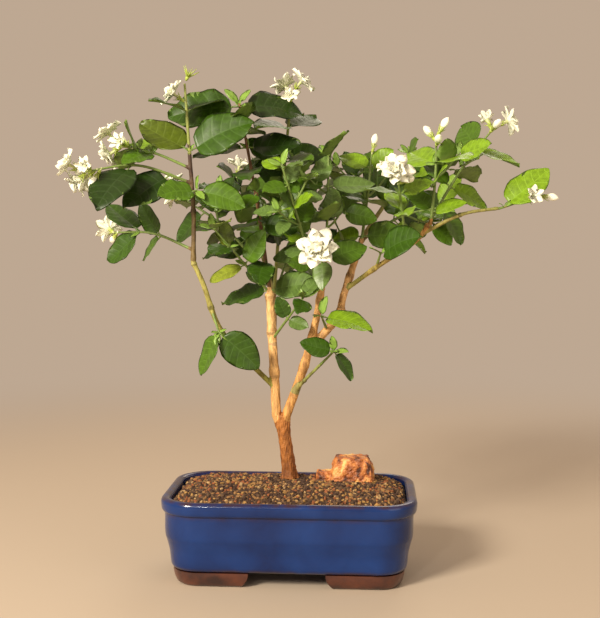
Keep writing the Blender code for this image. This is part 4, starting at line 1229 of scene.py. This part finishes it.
def build_foliage():
    """Every spray's twigs, leaves and blossom, each kind joined apart."""
    space = Space()
    for name in LIMBS:
        space.add(name, limb_solid(name))
    stems = {name: spray_stem(spray) for name, spray in SPRAYS.items()}
    for name, (solid, _) in stems.items():
        space.add(name, solid)
    front, rear, stalks, petals, greens = Pile(), Pile(), Pile(), Pile(), Pile()
    masses = [Growth(name, space).grow(curve) for name, (_, curve) in stems.items()]
    for mass in masses:
        name, spray, rng = mass.name, mass.spray, random.Random(mass.name)
        pile = rear if name in REAR else front
        curve = spray_curve(spray)
        stalks.add_tube(curve, stem_radii(spray, len(curve)), 10, spray.bark)
        for twig in mass.twigs:
            smooth = curve_through(twig, 5)
            radii = [TWIG_RADII[0] + (TWIG_RADII[2] - TWIG_RADII[0]) * k / (len(smooth) - 1)
                     for k in range(len(smooth))]
            stalks.add_tube(smooth, radii, 8, "twig_green")
            end_shoot(pile, space, name, smooth, rng, 12)
        for index, (length, frame) in enumerate(mass.leaves):
            tone = TONE_OF[spray.tones[index % len(spray.tones)]]
            add_leaf(pile, LEAF_BLADE, length, frame, tone, rng)
            if rng.random() < AXIL_SHOOTS:
                axis = (frame.to_3x3() @ Vector((0.6, 0, 0.8))).normalized()
                size = rng.uniform(6, 10)
                young_shoot(pile, space, name, frame @ Vector((-0.3, 0, 0)), axis, rng, size)
        for kind, frame in mass.blooms:
            add_flower(petals, greens, kind, frame, rng)
        if not spray.bloom:
            end_shoot(pile, space, name, curve, rng, 15)
    front.piece("leaves_front", "foliage", replaces=[m for m in SPRAYS if m not in REAR])
    rear.piece("leaves_rear", "foliage", replaces=REAR)
    stalks.piece("twigs", "foliage")
    petals.piece("blossom", "blossom")
    greens.piece("calyces", "foliage")


# ---------------------------------------------------------------- building the bark
BARK_VOXEL, BARK_SMOOTHING = 0.5, 5
TRUNK_LEVELS, TRUNK_SIDES = 36, 48
LIMB_SIDES, LIMB_STEPS = 20, 14
FORK_DEPTH = 16                          # how far the boughs run down into the trunk
COLLAR_REACH, COLLAR_LENGTH = 9, 6       # the bark that runs on to a spray's stem, and its taper
BARK_RELIEF = {"trunk": 0.75, "left_bough": 0.32, "middle_bough": 0.36, "right_bough": 0.32}
STEM_RELIEF = 0.14                       # on the other limbs
# The bark's relief: each pattern's height, and its lumps for each millimetre, long ridges and then pits.
RIDGES, RIDGE_SCALE = 0.75, (0.9, 0.9, 0.22)
PITS, PIT_SCALE = 0.35, 1.7
WANDER, WANDER_SCALE = 0.25, 0.12        # how far the bark's colour wanders along a limb
SCAR_REACH, SCAR_RISE, SCAR_SHADE = 0.012, 0.25, 0.45    # the ring at each old leaf joint
# RELIEF_SHADE paints shade and light into the bark's colour: painted shade in the hollows, painted light on
# the ridges.
RELIEF_SHADE = 0.5                       # how much paler the ridges are than the hollows
BARK_SUNK = 1.5                          # how far the bark goes below the soil's top


def fine_limb(limb):
    """A limb's curve and its half widths, run on into what carries it so that they grow together."""
    curve = curve_through(limb.points, LIMB_STEPS)
    radii = [limb_radius(limb, k / (len(curve) - 1)) for k in range(len(curve))]
    if limb.parent == "trunk":
        inside = Vector((TRUNK_TOP[0], TRUNK_TOP[1], curve[0].z - FORK_DEPTH))
        curve = [inside, inside.lerp(curve[0], 0.6)] + curve
        radii = [radii[0] * 0.6, radii[0] * 0.85] + radii
    return curve, radii


def add_collar(pile, spray):
    """The foot of a spray's stem, widened to the limb that it grows from."""
    curve = spray_curve(spray)
    start = spray.stem / 2
    reach = [p for p in curve if (p - curve[0]).length < COLLAR_REACH]
    wide = limb_radius(LIMBS[spray.limb], 1) * 0.8 if spray.along >= 1 else start * 1.5
    radii = []
    for point in reach:
        near = max(0.0, 1 - (point - reach[0]).length / COLLAR_LENGTH)
        radii.append(max(start * 0.9 + (wide - start) * near, 0.5))
    if len(reach) > 1:
        pile.add_tube(reach, radii, 12, "bark")


def bark_at(point, limb, share):
    """The bark's colour and the height of its relief at a point on a limb."""
    foot, tip = BARK[limb]
    mixed = min(max(share + noise.noise(point * WANDER_SCALE) * WANDER, 0), 1)
    ridges = noise.noise(Vector([along * scale for along, scale in zip(point, RIDGE_SCALE)]))
    pits = noise.noise(point * PIT_SCALE)
    height = BARK_RELIEF.get(limb, STEM_RELIEF) * (RIDGES * ridges + PITS * pits)
    joints = LIMBS[limb].nodes if limb in LIMBS else ()
    scar = max((math.exp(-((share - joint) / SCAR_REACH) ** 2) for joint in joints), default=0.0)
    height += SCAR_RISE * scar
    # painted shade and light: the colour darkens in the relief's hollows and pales on its ridges
    light = 1 + RELIEF_SHADE * height
    return [(a + (b - a) * mixed) * light * (1 - SCAR_SHADE * scar) for a, b in zip(foot, tip)], height


def build_bark():
    """Trunk, boughs and the feet of the sprays' stems grown into one skin, with the bark's relief."""
    pile = Pile()
    tags = []                             # (point, limb, share of its length) along every limb
    rings = trunk_rings(TRUNK_LEVELS, TRUNK_SIDES)
    pile.add_rings(rings, "bark")
    for k, ring in enumerate(rings):
        tags.append((sum((Vector(v) for v in ring), Vector()) / len(ring), "trunk", k / TRUNK_LEVELS))
    for name, limb in LIMBS.items():
        curve, radii = fine_limb(limb)
        pile.add_tube(curve, radii, LIMB_SIDES, "bark")
        hidden = 2 if limb.parent == "trunk" else 0             # points inside the trunk keep its colour
        tags += [(p, name, k / (len(curve) - 1)) for k, p in enumerate(curve) if k >= hidden]
    for spray in SPRAYS.values():
        add_collar(pile, spray)
    skin = pile.skin("bark", BARK_VOXEL, BARK_SMOOTHING)

    tree = KDTree(len(tags))
    for i, (point, _, _) in enumerate(tags):
        tree.insert(point, i)
    tree.balance()
    colours = []
    floor = (SOIL_TOP - BARK_SUNK) * MM
    places = []
    for vertex in skin.vertices:
        point = vertex.co / MM
        _, limb, share = tags[tree.find(point)[1]]
        colour, height = bark_at(point, limb, share)
        colours.append(colour)
        places.append(vertex.co + vertex.normal * height * MM)
    for vertex, spot in zip(skin.vertices, places):
        vertex.co = (spot.x, spot.y, max(spot.z, floor))
    paint(skin, "tint", np.clip(colours, 0, 1))
    dress(skin, "bark", smooth=True)
    place("bark", skin, "bark", ["trunk", *LIMBS])


# ---------------------------------------------------------------- building the pot, gravel and rock
CORNERS = ((1, 1), (-1, 1), (-1, -1), (1, -1))
# Where the glaze turns brown: the height and the reach of each edge, and how brown it gets there.
# The glaze thins at the rim and at the hem; a dark brown line is also drawn along the foot of the lip.
THIN_RIM, LIP_FOOT_LINE, THIN_HEM = (66.4, 1.3, 1.0), (56.0, 0.8, 0.7), (13.0, 1.5, 0.8)
POT_UNEVEN, UNDERSIDE_UNEVEN = 0.6, 0.1  # how uneven the walls are, and the underside below its edge
UNDERSIDE_EDGE = 14
POT_WALL = 9                             # the section's outside lies within this of the rim's edge


def fine_outline(inset, z, corner_steps=14, side_steps=(28, 16)):
    """The pot's rounded plan at one height, in even small steps."""
    corner = max(POT_CORNER - inset, 8.0)
    across, deep = POT_LENGTH / 2 - inset - corner, POT_DEPTH / 2 - inset - corner

    def arc_point(quarter, turn):
        side_x, side_y = CORNERS[quarter % 4]
        angle = math.radians(90 * turn)
        return Vector((side_x * across + corner * math.cos(angle),
                       side_y * deep + corner * math.sin(angle), z))

    ring = []
    for quarter in range(4):
        ring += [arc_point(quarter, quarter + step / corner_steps) for step in range(corner_steps + 1)]
        ahead = arc_point(quarter + 1, quarter + 1)
        steps = side_steps[quarter % 2]
        ring += [ring[-1].lerp(ahead, k / steps) for k in range(1, steps)]
    return ring


def thin_at(z, edge):
    height, reach, most = edge
    return most * math.exp(-((z - height) / reach) ** 2)


def build_pot():
    """The glazed pot: its section in finer steps, slightly uneven as thrown clay is."""
    rings, thin = [], []
    for inset, _, z in curve_through([(inset, 0, z) for inset, z in POT_SECTION], 4):
        uneven = POT_UNEVEN if z > UNDERSIDE_EDGE else UNDERSIDE_UNEVEN
        edges = (thin_at(z, THIN_RIM) + thin_at(z, LIP_FOOT_LINE)) * (inset < POT_WALL)
        bare = min(edges + thin_at(z, THIN_HEM), 1.0)
        ring = fine_outline(inset, z)
        for k, v in enumerate(ring):
            lumps = noise.noise(v * 0.035) * 0.5 + noise.noise(v * 0.12) * 0.15
            ring[k] = v + Vector((v.x, v.y, 0)).normalized() * lumps * uneven
        thin += [(bare,) * 3] * len(ring)
        rings.append(ring)
    pile = Pile()
    pile.add_rings(rings, "glaze")
    paint(pile.piece("pot_glazed", "glaze", replaces=["pot"]).data, "thin", thin)


def fine_foot(inset, front, side, width, arc_steps=12, run_steps=10):
    """A corner bracket's outline: along the front, round the corner and along the side, and back."""
    half_x, half_y = POT_LENGTH / 2, POT_DEPTH / 2

    def run(offset):
        corner = max(POT_CORNER - offset, 5.0)
        arc = [math.radians(90 * step / arc_steps) for step in range(arc_steps + 1)]
        points = [(half_x - offset - corner + corner * math.sin(a),
                   half_y - offset - corner + corner * math.cos(a)) for a in arc]
        start_x, end_y = half_x - inset - front, half_y - inset - side
        first = [(start_x + (points[0][0] - start_x) * k / run_steps, half_y - offset)
                 for k in range(run_steps)]
        last = [(half_x - offset, points[-1][1] + (end_y - points[-1][1]) * k / run_steps)
                for k in range(1, run_steps + 1)]
        return first + points + last

    return run(inset) + run(inset + width)[::-1]


FOOT_LEVELS = 12
FOOT_TUCK, FOOT_SHORTEN = 3.4, 9.5       # how far the foot's face and ends draw in towards the ground


def build_feet():
    """Four corner brackets of bare clay, their edges softened and their ends curved in."""
    for foot in FEET:
        _, deep, across = foot.split("_")
        side_x, side_y = (1 if across == "right" else -1), (1 if deep == "rear" else -1)
        rings = []
        for share in np.linspace(0, 1, FOOT_LEVELS):
            ease = 1 - (1 - share) ** 2.2
            tuck = FOOT_TUCK * (1 - ease) + 0.8 * math.exp(-share * 14)
            shorten = FOOT_SHORTEN * (1 - ease)
            height = share * (FOOT_HEIGHT - GAP * 0.2)
            outline = fine_foot(FOOT_INSET + tuck, FOOT_FRONT - shorten, FOOT_SIDE - shorten,
                                FOOT_WIDTH - 1.6 * tuck)
            ring = [Vector((side_x * x, side_y * y, height)) for x, y in outline]
            if side_x * side_y > 0:
                ring.reverse()
            rings.append([v + Vector((1, 1, 0)) * noise.noise(v * 0.25) * 0.22 for v in ring])
        pile = Pile()
        pile.add_rings(rings, "terracotta")
        piece = pile.piece(f"{foot}_clay", "unglazed_clay", replaces=[foot])
        piece.data.set_sharp_from_angle(angle=math.radians(50))


def soil_inset(x, y):
    """How far a point on the soil lies in from the rim's edge."""
    qx, qy = abs(x) - (POT_LENGTH / 2 - POT_CORNER), abs(y) - (POT_DEPTH / 2 - POT_CORNER)
    if qx > 0 and qy > 0:
        return POT_CORNER - math.hypot(qx, qy)
    return min(POT_LENGTH / 2 - abs(x), POT_DEPTH / 2 - abs(y))


def icosahedron():
    """Its corners, at 1 from its middle, and its faces."""
    golden = (1 + 5 ** 0.5) / 2
    points = [Vector(p).normalized() for a in (-1, 1) for b in (-golden, golden)
              for p in ((0, a, b), (a, b, 0), (b, 0, a))]
    near = [set(sorted(range(12), key=lambda j: (points[i] - points[j]).length)[1:6]) for i in range(12)]
    faces = {tuple(sorted((i, j, k))) for i in range(12) for j in near[i] for k in near[i] & near[j]}
    outward = []
    for i, j, k in sorted(faces):
        normal = (points[j] - points[i]).cross(points[k] - points[i])
        outward.append((i, j, k) if normal.dot(points[i]) > 0 else (i, k, j))
    return np.array(points), outward


GRAIN_STEP = 2.3
GRAIN_SIZE = (1.0, 1.9)
LARGE_GRAINS, LARGE_GRAIN = 0.06, 1.35   # the share of the grains that are larger, and how much
GRAVEL_EDGE = 10.2                       # inset of the outermost grains
TRUNK_CLEAR = 6.0                        # no grains this near the trunk's middle


def build_gravel():
    """The soil's top: grains of grit in six colours, packed close with a few larger ones."""
    soil = frame["nodes"]["soil"]
    ground = BVHTree.FromPolygons([soil.matrix_world @ v.co for v in soil.data.vertices],
                                  [p.vertices[:] for p in soil.data.polygons])
    rng = random.Random(21)
    ball, faces = icosahedron()
    pile = Pile()
    kinds, shares = list(GRAVEL), [share for _, share in GRAVEL.values()]
    for i in range(int(POT_LENGTH / GRAIN_STEP)):
        for j in range(int(POT_DEPTH / GRAIN_STEP)):
            x = (i + 0.5 + rng.uniform(-0.45, 0.45)) * GRAIN_STEP - POT_LENGTH / 2
            y = (j + 0.5 + rng.uniform(-0.45, 0.45)) * GRAIN_STEP - POT_DEPTH / 2
            at_trunk = math.hypot(x - TRUNK_FOOT[0], y - TRUNK_FOOT[1]) < TRUNK_CLEAR
            if soil_inset(x, y) < GRAVEL_EDGE or at_trunk:
                continue
            top = ground.ray_cast(POT_PLACE + Vector((x, y, 100)) * MM, Vector((0, 0, -1)))[0].z / MM
            size = rng.uniform(*GRAIN_SIZE) * (LARGE_GRAIN if rng.random() < LARGE_GRAINS else 1.0)
            stretch = np.array([rng.uniform(0.75, 1.25), rng.uniform(0.7, 1.1), rng.uniform(0.55, 0.9)])
            rough = np.array([rng.uniform(0.8, 1.2) for _ in range(12)])[:, None]
            spin = Matrix.Rotation(rng.uniform(0, 6.28), 4, Vector((rng.gauss(0, 0.5), rng.gauss(0, 0.5), 1)))
            spot = Matrix.Translation((x, y, top + size * rng.uniform(-0.3, 0.35))) @ spin
            pile.add(ball * rough * stretch * size, faces, rng.choices(kinds, shares)[0], spot)
    pile.piece("gravel", "gravel", smooth=False)


ROCK_VOXEL = 0.75
ROCK_FOOT = 1.0                          # the rock keeps its flat foot up to here above the soil
ROCK_SWELL = 0.35                        # it swells by this before its planes, cracks and chips cut in
PLANE_SCALE, PLANE_DEPTH, CRACK_DEPTH = 0.16, 1.5, 0.35
CHIP_SCALE, CHIP_DEPTH = 0.55, 0.5
ROUGH_SCALE, ROUGH_DEPTH = 0.9, 0.35


def build_rock():
    """The broken rock: two blocks grown together, then split into planes and roughened."""
    rng = random.Random(7)
    pile = Pile()
    for block in (STONE_BLOCK, STONE_LOBE):
        pile.add_rings(rough_block(*block, rng), "rock")
    skin = pile.skin("rock", ROCK_VOXEL)
    places = []
    for vertex in skin.vertices:
        point = vertex.co / MM
        planes, _ = noise.voronoi(point * PLANE_SCALE)
        chips, _ = noise.voronoi(point * CHIP_SCALE)
        depth = -PLANE_DEPTH * planes[0] + CRACK_DEPTH * (planes[1] - planes[0]) - CHIP_DEPTH * chips[0]
        depth += ROUGH_DEPTH * noise.noise(point * ROUGH_SCALE)
        above = point.z > SOIL_TOP + ROCK_FOOT
        places.append(vertex.co + vertex.normal * (depth + ROCK_SWELL) * MM if above else vertex.co.copy())
    for vertex, spot in zip(skin.vertices, places):
        vertex.co = spot
    dress(skin, "rock", smooth=False)
    place("rock", skin, "stone", ["stone"])


# ---------------------------------------------------------------- the studio
BACKDROP, BACKDROP_LIGHT = (0.80, 0.61, 0.45), 0.64
FLOOR_REACH, FLOOR_DROP = 8.0, 0.0003    # metres
FLOOR_FADE = (0.3, 1.3)                  # metres from the middle, over which the floor becomes the backdrop
LIGHTS_AIM = (0, 0, 0.2)
# Each light: its place and width in metres, its power and its colour.
LIGHTS = {
    "key": ((-0.85, -1.25, 0.95), 0.4, 40, (1.0, 0.90, 0.74)),
    "fill": ((1.1, -0.9, 0.6), 0.9, 3, (1.0, 0.90, 0.76)),
    "glint": ((-0.35, -1.5, 0.8), 0.07, 3, (1.0, 0.94, 0.84)),
    "back": ((0.3, 1.2, 1.1), 0.8, 5, (1.0, 0.90, 0.76)),
}


def floor_material():
    """Pale paper that fades into the backdrop's own light further out."""
    pale = new_material("floor_pale", (0.50, 0.41, 0.32), 0.85)
    centre = node(pale, "ShaderNodeTexCoord")
    reach = node(pale, "ShaderNodeVectorMath")
    reach.operation = "LENGTH"
    link(pale, centre, "Object", reach, 0)
    far = node(pale, "ShaderNodeMapRange", From_Min=FLOOR_FADE[0], From_Max=FLOOR_FADE[1])
    far.interpolation_type = "SMOOTHERSTEP"
    link(pale, reach, "Value", far, "Value")
    glow = node(pale, "ShaderNodeEmission", Color=(*BACKDROP, 1), Strength=BACKDROP_LIGHT)
    blend = node(pale, "ShaderNodeMixShader")
    link(pale, far, "Result", blend, 0)
    link(pale, shader_of(pale), "BSDF", blend, 1)
    link(pale, glow, "Emission", blend, 2)
    link(pale, blend, "Shader", pale.node_tree.nodes["Material Output"], "Surface")
    return pale


def build_stage():
    """The paper under the pot, the lit backdrop and the lamps."""
    floor_mesh = bpy.data.meshes.new("floor")
    floor_mesh.from_pydata([(x * FLOOR_REACH, y * FLOOR_REACH, 0) for x, y in CORNERS], [], [(0, 1, 2, 3)])
    floor = linked("floor", floor_mesh)
    floor.location = (0, 0, -FLOOR_DROP)
    floor_mesh.materials.append(floor_material())

    world = bpy.data.worlds.new("studio")
    world.use_nodes = True
    background = world.node_tree.nodes["Background"]
    background.inputs["Color"].default_value = (*BACKDROP, 1)
    background.inputs["Strength"].default_value = BACKDROP_LIGHT
    bpy.context.scene.world = world
    for name, (spot, width, power, colour) in LIGHTS.items():
        light = bpy.data.lights.new(name, "AREA")
        light.size, light.energy, light.color = width, power, colour
        holder = linked(name, light)
        holder.location = spot
        look_along(holder, Vector(LIGHTS_AIM) - holder.location)


def look_along(obj, way):
    obj.rotation_euler = way.to_track_quat("-Z", "Y").to_euler()


def build_camera():
    """The photograph's own view."""
    bpy.context.scene.view_settings.view_transform = "Standard"
    data = bpy.data.cameras.new("camera")
    data.lens, data.sensor_width = CAMERA_LENS, 36.0
    camera = linked("camera", data)
    camera.location = POT_PLACE + Vector(CAMERA_PLACE) * MM
    turn, pitch = math.radians(CAMERA_TURN), math.radians(CAMERA_PITCH)
    look_along(camera, Vector((-math.sin(turn) * math.cos(pitch), math.cos(turn) * math.cos(pitch),
                               -math.sin(pitch))))
    bpy.context.scene.camera = camera


# ---------------------------------------------------------------- the scene
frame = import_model()
pot_low, pot_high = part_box("pot")
POT_PLACE = Vector(((pot_low.x + pot_high.x) / 2, (pot_low.y + pot_high.y) / 2, 0))

plant_materials()
bark_material()
pot_materials()
ground_materials()
build_foliage()
build_bark()
build_pot()
build_feet()
build_gravel()
build_rock()
soil = frame["nodes"]["soil"]
soil.data.materials.clear()
soil.data.materials.append(MATERIALS["earth"])
build_stage()
build_camera()
